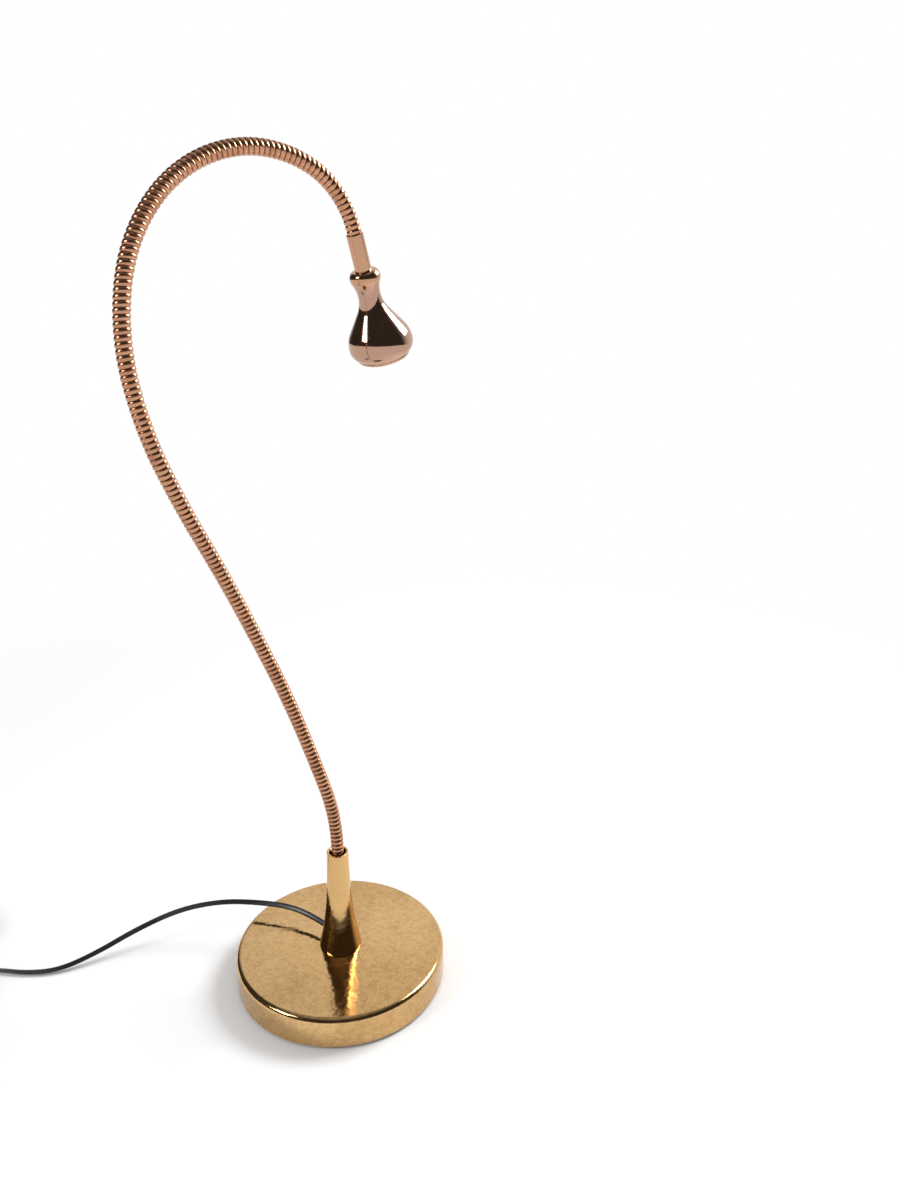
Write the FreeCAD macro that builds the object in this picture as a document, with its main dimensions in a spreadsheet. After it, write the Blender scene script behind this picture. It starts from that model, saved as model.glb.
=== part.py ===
import FreeCAD, Part
import math
import os

import Sketcher
from FreeCAD import Placement, Rotation, Vector

# A polished gooseneck work lamp: heavy round base, flared stem, ribbed neck in
# twelve links, drop-shaped LED head, and a twin lead with a rocker switch and
# a plug-in driver.  Z is up and the origin is under the middle of the foot.
# Millimetres and degrees throughout.

os.makedirs("parts", exist_ok=True)
doc = FreeCAD.newDocument("gooseneck_lamp")

# ---------------------------------------------------------------- sizes
SIZES = {
    # base
    "base_radius": 60.0,
    "base_height": 19.5,
    "cover_wall": 1.2,
    "cover_round": 3.0,
    "pad_radius": 57.0,
    "pad_height": 2.0,
    "plate_thickness": 1.2,
    "plate_screw_circle": 45.0,
    "screw_radius": 1.5,
    "screw_head_radius": 3.0,
    # stem
    "stem_height": 62.5,
    "foot_radius": 12.1,
    "waist_radius": 6.9,
    "waist_height": 38.0,
    "ring_radius": 6.1,
    "stem_bore": 5.4,
    "stem_floor": 3.0,
    "spigot_radius": 7.0,
    "spigot_length": 6.0,
    "bolt_radius": 4.0,
    "bolt_head_radius": 6.5,
    # neck
    "neck_radius": 3.62,
    "groove_radius": 3.15,
    "neck_bore": 1.9,
    "link_length": 39.2,
    "link_gap": 1.3,
    "neck_above_ring": 2.8,
    # head, along its own axis from the mouth of the ferrule
    "ferrule_radius": 4.1,
    "ferrule_length": 18.0,
    "collar_radius": 7.6,
    "collar_length": 6.0,
    "shell_waist_radius": 5.65,
    "bell_radius": 16.6,
    "bell_at": 55.5,
    "mouth_radius": 13.4,
    "mouth_at": 61.0,
    "shell_wall": 1.2,
    # lead
    "lead_radius": 1.6,
    "lead_exit_height": 6.5,
    "coil_outer_radius": 25.0,
    "coil_step": 3.7,
}
NECK_LINKS = 12
RIBS_PER_LINK = 15
# What each link of the neck bends at rest, in degrees: first over the way the
# neck leans, then out of that plane.
BEND = [14, 2, 5, 3, 3, -3, -13, -22, -31, -33, -36, -48]
SIDE = [-8, 0, 3, 5, 2, 2, -1, -1, 1, 3, 2, -4]
LEAN_AZIMUTH = 214.0
LEAD_AZIMUTH = 135.0

sheet = doc.addObject("Spreadsheet::Sheet", "sizes")
for row, (alias, number) in enumerate(SIZES.items(), start=1):
    sheet.set(f"A{row}", alias)
    sheet.set(f"B{row}", str(number))
    sheet.setAlias(f"B{row}", alias)
doc.recompute()


class Size:
    """A length that knows its number and the sheet expression behind it."""

    def __init__(self, text, value):
        self.text = text
        self.value = value

    def _with(self, other, sign, number):
        text = other.text if isinstance(other, Size) else str(other)
        return Size(f"({self.text} {sign} {text})", number(self.value, value_of(other)))

    def __add__(self, other):
        return self._with(other, "+", lambda a, b: a + b)

    def __sub__(self, other):
        return self._with(other, "-", lambda a, b: a - b)

    def __rsub__(self, number):
        return Size(f"({number} - {self.text})", number - self.value)

    def __mul__(self, other):
        return self._with(other, "*", lambda a, b: a * b)

    def __truediv__(self, other):
        return self._with(other, "/", lambda a, b: a / b)


def value_of(thing):
    return thing.value if isinstance(thing, Size) else float(thing)


def text_of(thing):
    return thing.text if isinstance(thing, Size) else str(float(thing))


def size(alias):
    return Size(f"sizes.{alias}", float(sheet.get(alias)))


# ---------------------------------------------------------------- sketching
def new_body(label):
    body = doc.addObject("PartDesign::Body", label)
    body.Label = label
    return body


def new_sketch(body, role, name):
    """A sketch on one of the body's own origin planes."""
    plane = [f for f in body.Origin.OriginFeatures if f.Role == role][0]
    sketch = body.newObject("Sketcher::SketchObject", f"{body.Label}_{name}")
    sketch.AttachmentSupport = [(plane, "")]
    sketch.MapMode = "FlatFace"
    return sketch


def bind(sketch, kind, *where_and_size):
    """Adds a dimension and ties it to the sheet."""
    *where, length = where_and_size
    index = sketch.addConstraint(Sketcher.Constraint(kind, *where, value_of(length)))
    sketch.setExpression(f"Constraints[{index}]", text_of(length))


def pin_point(sketch, edge, end, x, y):
    """Fixes one end of an edge at x, y from the sketch's origin."""
    if abs(value_of(x)) < 1e-9:
        sketch.addConstraint(Sketcher.Constraint("PointOnObject", edge, end, -2))
    else:
        bind(sketch, "DistanceX", -1, 1, edge, end, x)
    if abs(value_of(y)) < 1e-9:
        sketch.addConstraint(Sketcher.Constraint("PointOnObject", edge, end, -1))
    else:
        bind(sketch, "DistanceY", -1, 1, edge, end, y)


def arc_between(start, end, radius, left):
    """The short arc of that radius, its centre to the left of start-end or not."""
    middle = (start + end) * 0.5
    half = (end - start).Length / 2
    along = (end - start).normalize()
    to_left = Vector(-along.y, along.x, 0)
    centre = middle + to_left * math.sqrt(radius**2 - half**2) * (1 if left else -1)
    first, last = (start, end) if left else (end, start)
    angle = lambda p: math.atan2(p.y - centre.y, p.x - centre.x)
    circle = Part.Circle(centre, Vector(0, 0, 1), radius)
    return Part.ArcOfCircle(circle, angle(first), angle(last))


def draw_outline(sketch, corners):
    """A closed outline.  A corner is (x, y), or (x, y, radius, "left" or "right")
    where the edge that leaves it is an arc with its centre on that side."""
    points = [Vector(value_of(c[0]), value_of(c[1]), 0) for c in corners]
    ends = []
    for index, corner in enumerate(corners):
        start, end = points[index], points[(index + 1) % len(points)]
        if len(corner) == 4:
            left = corner[3] == "left"
            edge = sketch.addGeometry(
                arc_between(start, end, value_of(corner[2]), left), False
            )
            ends.append((edge, 1, 2) if left else (edge, 2, 1))
        else:
            edge = sketch.addGeometry(Part.LineSegment(start, end), False)
            ends.append((edge, 1, 2))
    for index, (edge, first, last) in enumerate(ends):
        following, next_first, _ = ends[(index + 1) % len(ends)]
        sketch.addConstraint(
            Sketcher.Constraint("Coincident", edge, last, following, next_first)
        )
    for (edge, first, _), corner in zip(ends, corners):
        pin_point(sketch, edge, first, corner[0], corner[1])
        if len(corner) == 4:
            bind(sketch, "Radius", edge, corner[2])


def draw_circle(sketch, x, y, radius):
    centre = Vector(value_of(x), value_of(y), 0)
    circle = Part.Circle(centre, Vector(0, 0, 1), value_of(radius))
    edge = sketch.addGeometry(circle, False)
    pin_point(sketch, edge, 3, x, y)
    bind(sketch, "Radius", edge, radius)


def draw_box(sketch, x0, y0, x1, y1):
    draw_outline(sketch, [(x0, y0), (x1, y0), (x1, y1), (x0, y1)])


# ---------------------------------------------------------------- features
def turned(label, corners):
    """A body of revolution about its own Z from a half outline (radius, height)."""
    body = new_body(label)
    sketch = new_sketch(body, "XZ_Plane", "half_outline")
    draw_outline(sketch, corners)
    turn = body.newObject("PartDesign::Revolution", f"{label}_turned")
    turn.Profile = sketch
    turn.ReferenceAxis = (sketch, ["V_Axis"])
    turn.Angle = 360
    sketch.Visibility = False
    doc.recompute()
    return body


def dome(width, height):
    """Radius of the cap that is so wide and high and centred on the axis."""
    return (width * width + height * height) / (2 * height)


def extrude(body, kind, sketch, name, length, reverse=False):
    """A Pad or a Pocket of a sketch, checked to have changed the solid."""
    before = body.Shape.Volume if body.Tip else 0.0
    feature = body.newObject(f"PartDesign::{kind}", f"{body.Label}_{name}")
    feature.Profile = sketch
    feature.Length = value_of(length)
    feature.setExpression("Length", text_of(length))
    feature.Reversed = reverse
    doc.recompute()
    change = body.Shape.Volume - before
    if change * (1 if kind == "Pad" else -1) <= 0:
        raise ValueError(f"{feature.Name} points away from the solid: {change:.3f}")
    return feature


def round_edges(body, name, radius, wanted, kind="Fillet"):
    """Rounds or chamfers the edges of the tip that the test picks out."""
    tip = body.Tip
    names = [
        f"Edge{i}" for i, edge in enumerate(tip.Shape.Edges, start=1) if wanted(edge)
    ]
    feature = body.newObject(f"PartDesign::{kind}", f"{body.Label}_{name}")
    feature.Base = (tip, names)
    prop = "Radius" if kind == "Fillet" else "Size"
    setattr(feature, prop, value_of(radius))
    feature.setExpression(prop, text_of(radius))
    doc.recompute()
    return feature


def repeat_round(body, feature, count):
    """Repeats a feature about the body's Z and makes the pattern the tip."""
    z_axis = [f for f in body.Origin.OriginFeatures if f.Role == "Z_Axis"][0]
    pattern = body.newObject("PartDesign::PolarPattern", f"{feature.Name}_round")
    pattern.Originals = [feature]
    pattern.Axis = (z_axis, [""])
    pattern.Angle = 360
    pattern.Occurrences = count
    body.Tip = pattern
    doc.recompute()
    return pattern


def lift(body, height, angle=0.0):
    body.Placement = Placement(
        Vector(0, 0, value_of(height)), Rotation(Vector(0, 0, 1), angle)
    )
    return body


def solid_node(label, shape, placement=None):
    """A sub-part whose shape comes straight from curves, placed afterwards."""
    feature = doc.addObject("Part::Feature", label)
    feature.Label = label
    feature.Shape = shape
    feature.Placement = placement or Placement()
    return feature


nodes = []


def keep(*parts):
    nodes.extend(parts)
    return parts[0]


# ---------------------------------------------------------------- base
base_radius, base_height = size("base_radius"), size("base_height")
wall, pad_height = size("cover_wall"), size("pad_height")
plate_thickness = size("plate_thickness")
plate_top = pad_height + plate_thickness
screw_radius = size("screw_radius")
screw_circle = size("plate_screw_circle")
head_radius = size("screw_head_radius")
spigot_radius, spigot_length = size("spigot_radius"), size("spigot_length")
bolt_radius, bolt_head_radius = size("bolt_radius"), size("bolt_head_radius")
BOLT_HEAD_HEIGHT = 3.6
WASHER_HEIGHT = 1.2
SCREW_LENGTH = 7.0
SCREWS = 3


def make_foot_pad():
    """Soft disc under the base, with a hole below each screw head."""
    pad = turned(
        "foot_pad",
        [(0, 0), (size("pad_radius"), 0), (size("pad_radius"), pad_height), (0, pad_height)],
    )
    sketch = new_sketch(pad, "XY_Plane", "screw_hole")
    draw_circle(sketch, screw_circle, 0, head_radius + 0.3)
    hole = extrude(pad, "Pocket", sketch, "screw_holes", pad_height, reverse=True)
    repeat_round(pad, hole, SCREWS)
    return pad


def make_base_plate():
    """Steel disc that closes the cover from below."""
    edge = base_radius - wall - 0.3
    plate = turned(
        "base_plate",
        [(0, 0), (edge, 0), (edge, plate_thickness), (0, plate_thickness)],
    )
    sketch = new_sketch(plate, "XY_Plane", "screw_hole")
    draw_circle(sketch, screw_circle, 0, screw_radius + 0.1)
    hole = extrude(plate, "Pocket", sketch, "holes", plate_thickness, reverse=True)
    repeat_round(plate, hole, SCREWS)
    return lift(plate, pad_height)


def make_base_weight():
    """Cast disc that fills the cover: pocket for the bolt head below, seat for
    the stem's spigot above, and blind holes for the plate's screws."""
    height = base_height - wall - plate_top
    rim = base_radius - wall - 0.2
    recess = BOLT_HEAD_HEIGHT + WASHER_HEIGHT + 0.2
    recess_radius = bolt_head_radius + 2.3
    seat = height - (spigot_length - wall) - 0.2
    weight = turned(
        "base_weight",
        [
            (recess_radius, 0),
            (rim - 1.0, 0),
            (rim, 1.0),
            (rim, height - 2.0),
            (rim - 2.0, height),
            (spigot_radius + 0.1, height),
            (spigot_radius + 0.1, seat),
            (bolt_radius + 0.3, seat),
            (bolt_radius + 0.3, recess),
            (recess_radius, recess),
        ],
    )
    sketch = new_sketch(weight, "XY_Plane", "screw_hole")
    draw_circle(sketch, screw_circle, 0, screw_radius)
    hole = extrude(weight, "Pocket", sketch, "holes", SCREW_LENGTH, reverse=True)
    repeat_round(weight, hole, SCREWS)
    return lift(weight, plate_top)


def make_base_cover():
    """Polished cap: top disc and skirt in one, with a rounded edge."""
    height = base_height - pad_height
    outer_round, inner_round = size("cover_round"), size("cover_round") - wall
    cover = turned(
        "base_cover",
        [
            (base_radius - wall, 0),
            (base_radius, 0),
            (base_radius, height - outer_round, outer_round, "left"),
            (base_radius - outer_round, height),
            (spigot_radius + 0.1, height),
            (spigot_radius + 0.1, height - wall),
            (base_radius - wall - inner_round, height - wall, inner_round, "right"),
            (base_radius - wall, height - wall - inner_round),
        ],
    )
    return lift(cover, pad_height)


def make_screw(label, radius, head, head_height, length):
    """Pan-head screw, head down, with a crossed slot."""
    screw = turned(
        label,
        [
            (0, 0),
            (head * 0.75, 0),
            (head, head_height * 0.5),
            (head, head_height),
            (radius, head_height),
            (radius, head_height + length),
            (0, head_height + length),
        ],
    )
    slot = new_sketch(screw, "XY_Plane", "slot")
    half_long, half_wide = head * 0.6, head * 0.13
    minus = lambda s: s * -1
    draw_outline(
        slot,
        [
            (half_long, minus(half_wide)),
            (half_long, half_wide),
            (half_wide, half_wide),
            (half_wide, half_long),
            (minus(half_wide), half_long),
            (minus(half_wide), half_wide),
            (minus(half_long), half_wide),
            (minus(half_long), minus(half_wide)),
            (minus(half_wide), minus(half_wide)),
            (minus(half_wide), minus(half_long)),
            (half_wide, minus(half_long)),
            (half_wide, minus(half_wide)),
        ],
    )
    extrude(screw, "Pocket", slot, "slot_cut", head_height * 0.5, reverse=True)
    return screw


keep(make_foot_pad(), make_base_plate(), make_base_weight(), make_base_cover())
PAN_HEAD_HEIGHT = pad_height * 0.75
for number in range(SCREWS):
    screw = make_screw(
        f"plate_screw_{number + 1}",
        screw_radius - 0.05,
        head_radius,
        PAN_HEAD_HEIGHT,
        SCREW_LENGTH,
    )
    turn = Rotation(Vector(0, 0, 1), 360.0 / SCREWS * number)
    spot = turn.multVec(Vector(screw_circle.value, 0, 0))
    spot.z = (pad_height - PAN_HEAD_HEIGHT).value
    screw.Placement = Placement(spot, turn)
    keep(screw)

# ---------------------------------------------------------------- stem
stem_height = size("stem_height")
foot_radius, waist_radius = size("foot_radius"), size("waist_radius")
waist_height, ring_radius = size("waist_height"), size("ring_radius")
stem_bore, stem_floor = size("stem_bore"), size("stem_floor")
lead_radius, lead_height = size("lead_radius"), size("lead_exit_height")
GROMMET_SEAT = 10.2
GROMMET_FACE = 11.2
FLARE_RADIUS = 200.0


def make_stem():
    """Flared socket: slim cone, concave flare to the foot, thin top ring, and
    a spigot below that the bolt draws into the base.  The lead's hole is
    along its own +X."""
    bolt_hole = bolt_radius
    low = spigot_length * -1
    stem = turned(
        "stem",
        [
            (bolt_hole, low),
            (spigot_radius, low),
            (spigot_radius, 0),
            (foot_radius, 0),
            (foot_radius, 0.8, FLARE_RADIUS, "right"),
            (waist_radius, waist_height),
            (ring_radius, stem_height - 0.5),
            (ring_radius - 0.2, stem_height),
            (stem_bore + 0.1, stem_height),
            (stem_bore, stem_height - 0.5),
            (stem_bore, stem_floor),
            (bolt_hole, stem_floor),
        ],
    )
    hole = new_sketch(stem, "YZ_Plane", "lead_hole")
    draw_circle(hole, 0, lead_height, lead_radius + 0.6)
    extrude(stem, "Pocket", hole, "lead_bore", foot_radius + 2.0, reverse=True)
    seat = new_sketch(stem, "YZ_Plane", "grommet_seat")
    seat.AttachmentOffset = Placement(Vector(0, 0, GROMMET_SEAT), Rotation())
    draw_circle(seat, 0, lead_height, lead_radius + 1.1)
    extrude(stem, "Pocket", seat, "seat_cut", 6.0, reverse=True)
    return lift(stem, base_height, LEAD_AZIMUTH)


def make_stem_bolt():
    """Socket-head bolt from below the weight up into the spigot."""
    length = base_height + 2.0 - plate_top - BOLT_HEAD_HEIGHT - 0.2
    bolt = turned(
        "stem_bolt",
        [
            (0, 0),
            (bolt_head_radius - 0.5, 0),
            (bolt_head_radius, 0.5),
            (bolt_head_radius, BOLT_HEAD_HEIGHT),
            (bolt_radius - 0.05, BOLT_HEAD_HEIGHT),
            (bolt_radius - 0.05, length + BOLT_HEAD_HEIGHT - 0.6),
            (bolt_radius - 0.65, length + BOLT_HEAD_HEIGHT),
            (0, length + BOLT_HEAD_HEIGHT),
        ],
    )
    socket = new_sketch(bolt, "XY_Plane", "hex")
    across = 3.4
    corners = [
        (across * math.cos(math.radians(60 * k + 30)), across * math.sin(math.radians(60 * k + 30)))
        for k in range(6)
    ]
    draw_outline(socket, [(round(x, 4), round(y, 4)) for x, y in corners])
    extrude(bolt, "Pocket", socket, "hex_cut", 2.2, reverse=True)
    return lift(bolt, plate_top + 0.2)


def make_stem_washer():
    washer = turned(
        "stem_washer",
        [
            (bolt_radius + 0.2, 0),
            (bolt_head_radius + 1.5, 0),
            (bolt_head_radius + 1.5, WASHER_HEIGHT),
            (bolt_radius + 0.2, WASHER_HEIGHT),
        ],
    )
    return lift(washer, plate_top + 0.2 + BOLT_HEAD_HEIGHT)


def lead_placement(distance):
    """Frame at the stem's side hole: its Z points out along the lead."""
    out = Rotation(Vector(0, 0, 1), LEAD_AZIMUTH).multVec(Vector(1, 0, 0))
    place = out * distance
    place.z = (base_height + lead_height).value
    return Placement(place, Rotation(Vector(0, 0, 1), out))


def make_grommet():
    """Small flanged bush that the lead passes through."""
    barrel = GROMMET_SEAT - stem_bore.value
    grommet = turned(
        "lead_grommet",
        [
            (lead_radius, 0),
            (lead_radius + 0.6, 0),
            (lead_radius + 0.6, barrel),
            (lead_radius + 1.0, barrel),
            (lead_radius + 1.0, barrel + 0.6),
            (lead_radius + 0.6, barrel + 1.0),
            (lead_radius, barrel + 1.0),
        ],
    )
    grommet.Placement = lead_placement(stem_bore.value)
    return grommet


def make_neck_bush():
    """Collar pressed into the stem that grips the neck's lower end."""
    neck_radius = size("neck_radius")
    bush = turned(
        "neck_bush",
        [
            (neck_radius, 0),
            (stem_bore, 0),
            (stem_bore, 10.0),
            (neck_radius + 0.5, 10.0),
            (neck_radius, 9.5),
        ],
    )
    return lift(bush, base_height + stem_height - 24.0)


keep(make_stem(), make_stem_bolt(), make_stem_washer(), make_grommet(), make_neck_bush())


# ---------------------------------------------------------------- neck
def axes_rotation(frame):
    return Rotation(frame[0], frame[1], frame[2], "ZXY")


class NeckArc:
    """One link of the neck: a circular arc that starts in a given frame
    (lean, across, along) and bends by two small angles."""

    def __init__(self, start, frame, bend, side, length):
        self.start, self.frame, self.length = start, frame, length
        self.angle = math.radians(math.hypot(bend, side))
        lean, across, _ = frame
        axis = across * bend - lean * side
        self.axis = axis.normalize() if axis.Length > 0 else across

    def at(self, run):
        """Point and frame at a length along the centreline; a run before the
        start or past the end goes straight on."""
        inside = min(max(run, 0.0), self.length)
        turned_by = self.angle * inside / self.length
        spin = Rotation(self.axis, math.degrees(turned_by))
        frame = [spin.multVec(v) for v in self.frame]
        along = self.frame[2]
        inward = self.axis.cross(along)
        if self.angle > 1e-9:
            radius = self.length / self.angle
            point = self.start + along * radius * math.sin(turned_by)
            point = point + inward * radius * (1 - math.cos(turned_by))
        else:
            point = self.start + along * inside
        return point + frame[2] * (run - inside), frame


def ring(arc, run, radius):
    """A circle square to the neck, its seam on the steady lean direction."""
    point, frame = arc.at(run)
    circle = Part.makeCircle(radius)
    circle.Placement = Placement(point, axes_rotation(frame))
    return Part.Wire([circle])


def ribbed_tube(arc, first, last, ribs):
    """Ribbed tube with its bore between two runs along the arc."""
    crest, groove = size("neck_radius").value, size("groove_radius").value
    bore = size("neck_bore").value
    pitch = (last - first) / (ribs - 0.1)
    rings = []
    for rib in range(ribs):
        for part, radius in ((0.0, groove), (0.2, crest), (0.7, crest), (0.9, groove)):
            rings.append(ring(arc, first + (rib + part) * pitch, radius))
    outside = Part.makeLoft(rings, True, True)
    steps = 8
    span = last - first + 1.0
    inner = [ring(arc, first - 0.5 + span * k / steps, bore) for k in range(steps + 1)]
    return outside.cut(Part.makeLoft(inner, True, True))


neck_start = (base_height + stem_height + size("neck_above_ring")).value
link_length, link_gap = size("link_length").value, size("link_gap").value
lean = Vector(math.cos(math.radians(LEAN_AZIMUTH)), math.sin(math.radians(LEAN_AZIMUTH)), 0)
up = Vector(0, 0, 1)
start, frame = Vector(0, 0, neck_start), [lean, up.cross(lean), up]
arcs = []
for bend, side in zip(BEND, SIDE):
    arcs.append(NeckArc(start, frame, bend, side, link_length))
    start, frame = arcs[-1].at(link_length)
neck_end, head_frame = start, frame

ROOT_RIBS = 8
root_arc = NeckArc(Vector(0, 0, neck_start - 22.0), arcs[0].frame, 0, 0, 22.0)
root_top = 22.0 - link_gap / 2
keep(solid_node("neck_root", ribbed_tube(root_arc, 0.8, root_top, ROOT_RIBS)))
for number, arc in enumerate(arcs, start=1):
    link = ribbed_tube(arc, link_gap / 2, link_length - link_gap / 2, RIBS_PER_LINK)
    keep(solid_node(f"neck_link_{number:02d}", link))

# The pivots of the neck: where each link starts, and where the last one ends.
for number, arc in enumerate(arcs + [None]):
    pivot, at_pivot = (neck_end, head_frame) if arc is None else (arc.start, arc.frame)
    axis = at_pivot[0] if number % 2 else at_pivot[1]
    print("PIVOT", number, [round(v, 5) for v in pivot], [round(v, 6) for v in axis])

# ---------------------------------------------------------------- head
ferrule_radius, ferrule_length = size("ferrule_radius"), size("ferrule_length")
collar_radius, collar_length = size("collar_radius"), size("collar_length")
shell_waist, bell_radius = size("shell_waist_radius"), size("bell_radius")
bell_at, mouth_radius = size("bell_at"), size("mouth_radius")
mouth_at, shell_wall = size("mouth_at"), size("shell_wall")
half_gap = size("link_gap") / 2
head_placement = Placement(neck_end, axes_rotation(head_frame))
shell_from = ferrule_length + collar_length
throat_radius = collar_radius - 0.6
WAIST_AT = 30.0
NECKING_AT = 38.5
NECKING_RADIUS = 8.2
SHOULDER_AT = 47.8
SHOULDER_RADIUS = 14.3


def in_head(body):
    body.Placement = head_placement
    return body


def make_ferrule():
    """Smooth sleeve over the neck's upper end."""
    bore = size("groove_radius")
    end = ferrule_length + 1.0
    return in_head(turned(
        "neck_ferrule",
        [
            (bore, half_gap),
            (ferrule_radius - 0.3, half_gap),
            (ferrule_radius, half_gap + 0.3),
            (ferrule_radius, end),
            (bore, end),
        ],
    ))


def make_neck_tip():
    """Plain end of the neck inside the ferrule."""
    tube, bore = size("groove_radius") - 0.02, size("neck_bore")
    return in_head(turned(
        "neck_tip",
        [(bore, half_gap), (tube, half_gap), (tube, ferrule_length), (bore, ferrule_length)],
    ))


def make_collar():
    """Rounded bead between the ferrule and the shell, flush with its throat."""
    low, high = ferrule_length, shell_from
    bore = ferrule_radius + 0.02
    return in_head(turned(
        "head_collar",
        [
            (bore, low),
            (ferrule_radius + 1.2, low),
            (collar_radius - 0.7, low + 1.0, 4.5, "left"),
            (collar_radius - 0.4, high - 0.4),
            (throat_radius, high),
            (bore, high),
        ],
    ))


def make_shell():
    """Drop-shaped shell: throat drawn in to a slim waist, round bell, drawn-in
    mouth.  Its outer arcs run into each other without a crease."""
    w = shell_wall
    return in_head(turned(
        "head_shell",
        [
            (throat_radius - w, shell_from),
            (throat_radius, shell_from, 14.0, "right"),
            (shell_waist, WAIST_AT, 15.4, "right"),
            (NECKING_RADIUS, NECKING_AT),
            (SHOULDER_RADIUS, SHOULDER_AT, 14.2, "left"),
            (bell_radius, bell_at, 6.4, "left"),
            (mouth_radius, mouth_at),
            (mouth_radius - w, mouth_at - 0.3),
            (bell_radius - w, bell_at, 13.0, "right"),
            (SHOULDER_RADIUS - w, SHOULDER_AT + 0.4),
            (NECKING_RADIUS - w, NECKING_AT + 0.6, 16.6, "left"),
            (shell_waist - w, WAIST_AT, 15.2, "left"),
        ],
    ))


def make_lens_ring():
    """Bright rim that holds the lens in the mouth."""
    low = mouth_at
    return in_head(turned(
        "lens_ring",
        [
            (mouth_radius - 2.4, low - 0.2),
            (mouth_radius - 1.3, low - 0.2),
            (mouth_radius - 1.0, low + 0.1),
            (mouth_radius + 0.1, low + 0.1),
            (mouth_radius - 0.4, low + 1.2),
            (mouth_radius - 1.2, low + 1.5),
            (mouth_radius - 2.4, low + 1.0),
        ],
    ))


def make_lens():
    """Domed diffuser behind the rim."""
    edge = mouth_radius - 1.4
    low = mouth_at - 2.2
    return in_head(turned(
        "lens",
        [
            (0, low),
            (edge, low),
            (edge, low + 1.9),
            (edge - 1.1, low + 1.9, dome(edge - 1.1, 1.7), "left"),
            (0, low + 3.6),
        ],
    ))


def make_heat_sink():
    """Turned aluminium slug that the board is screwed to."""
    low = 45.0
    slug = turned(
        "heat_sink",
        [
            (2.0, 0),
            (7.4, 0),
            (9.6, 3.5),
            (11.2, 5.0),
            (11.2, 8.0),
            (2.0, 8.0),
        ],
    )
    hole = new_sketch(slug, "XY_Plane", "screw_hole")
    hole.AttachmentOffset = Placement(Vector(0, 0, 8.0), Rotation())
    draw_circle(hole, 6.5, 0, 0.8)
    cut = extrude(slug, "Pocket", hole, "screw_holes", 4.0)
    repeat_round(slug, cut, 2)
    slug.Placement = head_placement.multiply(Placement(Vector(0, 0, low), Rotation()))
    return slug


def make_board():
    """Round board with its two screw holes and the lead's slot."""
    board = turned("led_board", [(2.0, 0), (9.6, 0), (9.6, 1.2), (2.0, 1.2)])
    hole = new_sketch(board, "XY_Plane", "screw_hole")
    draw_circle(hole, 6.5, 0, 0.95)
    cut = extrude(board, "Pocket", hole, "screw_holes", 1.2, reverse=True)
    repeat_round(board, cut, 2)
    board.Placement = head_placement.multiply(Placement(Vector(0, 0, 53.0), Rotation()))
    return board


def make_emitter():
    """Round light source on the board, over the lead's joint."""
    emitter = turned(
        "led_emitter",
        [(0, 0), (4.6, 0), (4.6, 0.5), (4.1, 0.9, dome(4.1, 0.6), "left"), (0, 1.5)],
    )
    emitter.Placement = head_placement.multiply(Placement(Vector(0, 0, 54.2), Rotation()))
    return emitter


keep(make_ferrule(), make_neck_tip(), make_collar(), make_shell(), make_lens_ring())
keep(make_lens(), make_heat_sink(), make_board(), make_emitter())
for number in range(2):
    screw = make_screw(f"board_screw_{number + 1}", 0.75, 1.5, 0.8, 4.0)
    spot = Vector(6.5 if number == 0 else -6.5, 0, 54.2 + 0.8)
    flip = Rotation(Vector(1, 0, 0), 180)
    screw.Placement = head_placement.multiply(Placement(spot, flip))
    keep(screw)


# ---------------------------------------------------------------- leads
def rounded_path(points, share=0.45):
    """Straight runs joined by tangent arcs, each as large as its runs allow.
    Returns the wire and the radii of its arcs."""
    edges, radii, cursor = [], [], points[0]
    for before, corner, after in zip(points, points[1:], points[2:]):
        into, out = (corner - before), (after - corner)
        shorter = min(into.Length, out.Length)
        into.normalize()
        out.normalize()
        turn = into.getAngle(out)
        reach = share * shorter
        radius = reach / math.tan(turn / 2)
        first, last = corner - into * reach, corner + out * reach
        inward = (out - into).normalize()
        middle = corner + inward * (radius / math.cos(turn / 2) - radius)
        edges.append(Part.LineSegment(cursor, first).toShape())
        edges.append(Part.Arc(first, middle, last).toShape())
        radii.append(radius)
        cursor = last
    edges.append(Part.LineSegment(cursor, points[-1]).toShape())
    return Part.Wire(edges), radii


def sweep_circle(path, start, direction, radius):
    """A round solid swept along a wire from its start."""
    circle = Part.Wire([Part.makeCircle(radius, start, direction)])
    return path.makePipeShell([circle], True, False)


def lead_tube(label, points, radius):
    """A lead along a hand-chosen route; prints its radii and checks its volume."""
    points = [Vector(*p) for p in points]
    path, radii = rounded_path(points)
    tube = sweep_circle(path, points[0], points[1] - points[0], radius)
    expected = math.pi * radius**2 * path.Length
    print(
        f"{label}: length {path.Length:.1f}, radii {[round(r, 1) for r in radii]}, "
        f"volume {tube.Volume / expected:.5f} of section times length"
    )
    return solid_node(label, tube), path.Length


lead_out = Rotation(Vector(0, 0, 1), LEAD_AZIMUTH).multVec(Vector(1, 0, 0))
exit_height = (base_height + lead_height).value
EXIT = lead_out * GROMMET_FACE
EXIT.z = exit_height


def make_inner_lead():
    """The lead inside the stem: in through the grommet, then up the neck's root."""
    top = neck_start - 1.0
    bend_radius = 4.0
    turn_from = lead_out * bend_radius
    turn_from.z = exit_height
    turn_to = Vector(0, 0, exit_height + bend_radius)
    centre = lead_out * bend_radius
    centre.z = exit_height + bend_radius
    middle = centre + (Vector(0, 0, exit_height) - centre).normalize() * bend_radius
    path = Part.Wire([
        Part.LineSegment(EXIT, turn_from).toShape(),
        Part.Arc(turn_from, middle, turn_to).toShape(),
        Part.LineSegment(turn_to, Vector(0, 0, top)).toShape(),
    ])
    return solid_node("lead_in_stem", sweep_circle(path, EXIT, lead_out, lead_radius.value))


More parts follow.
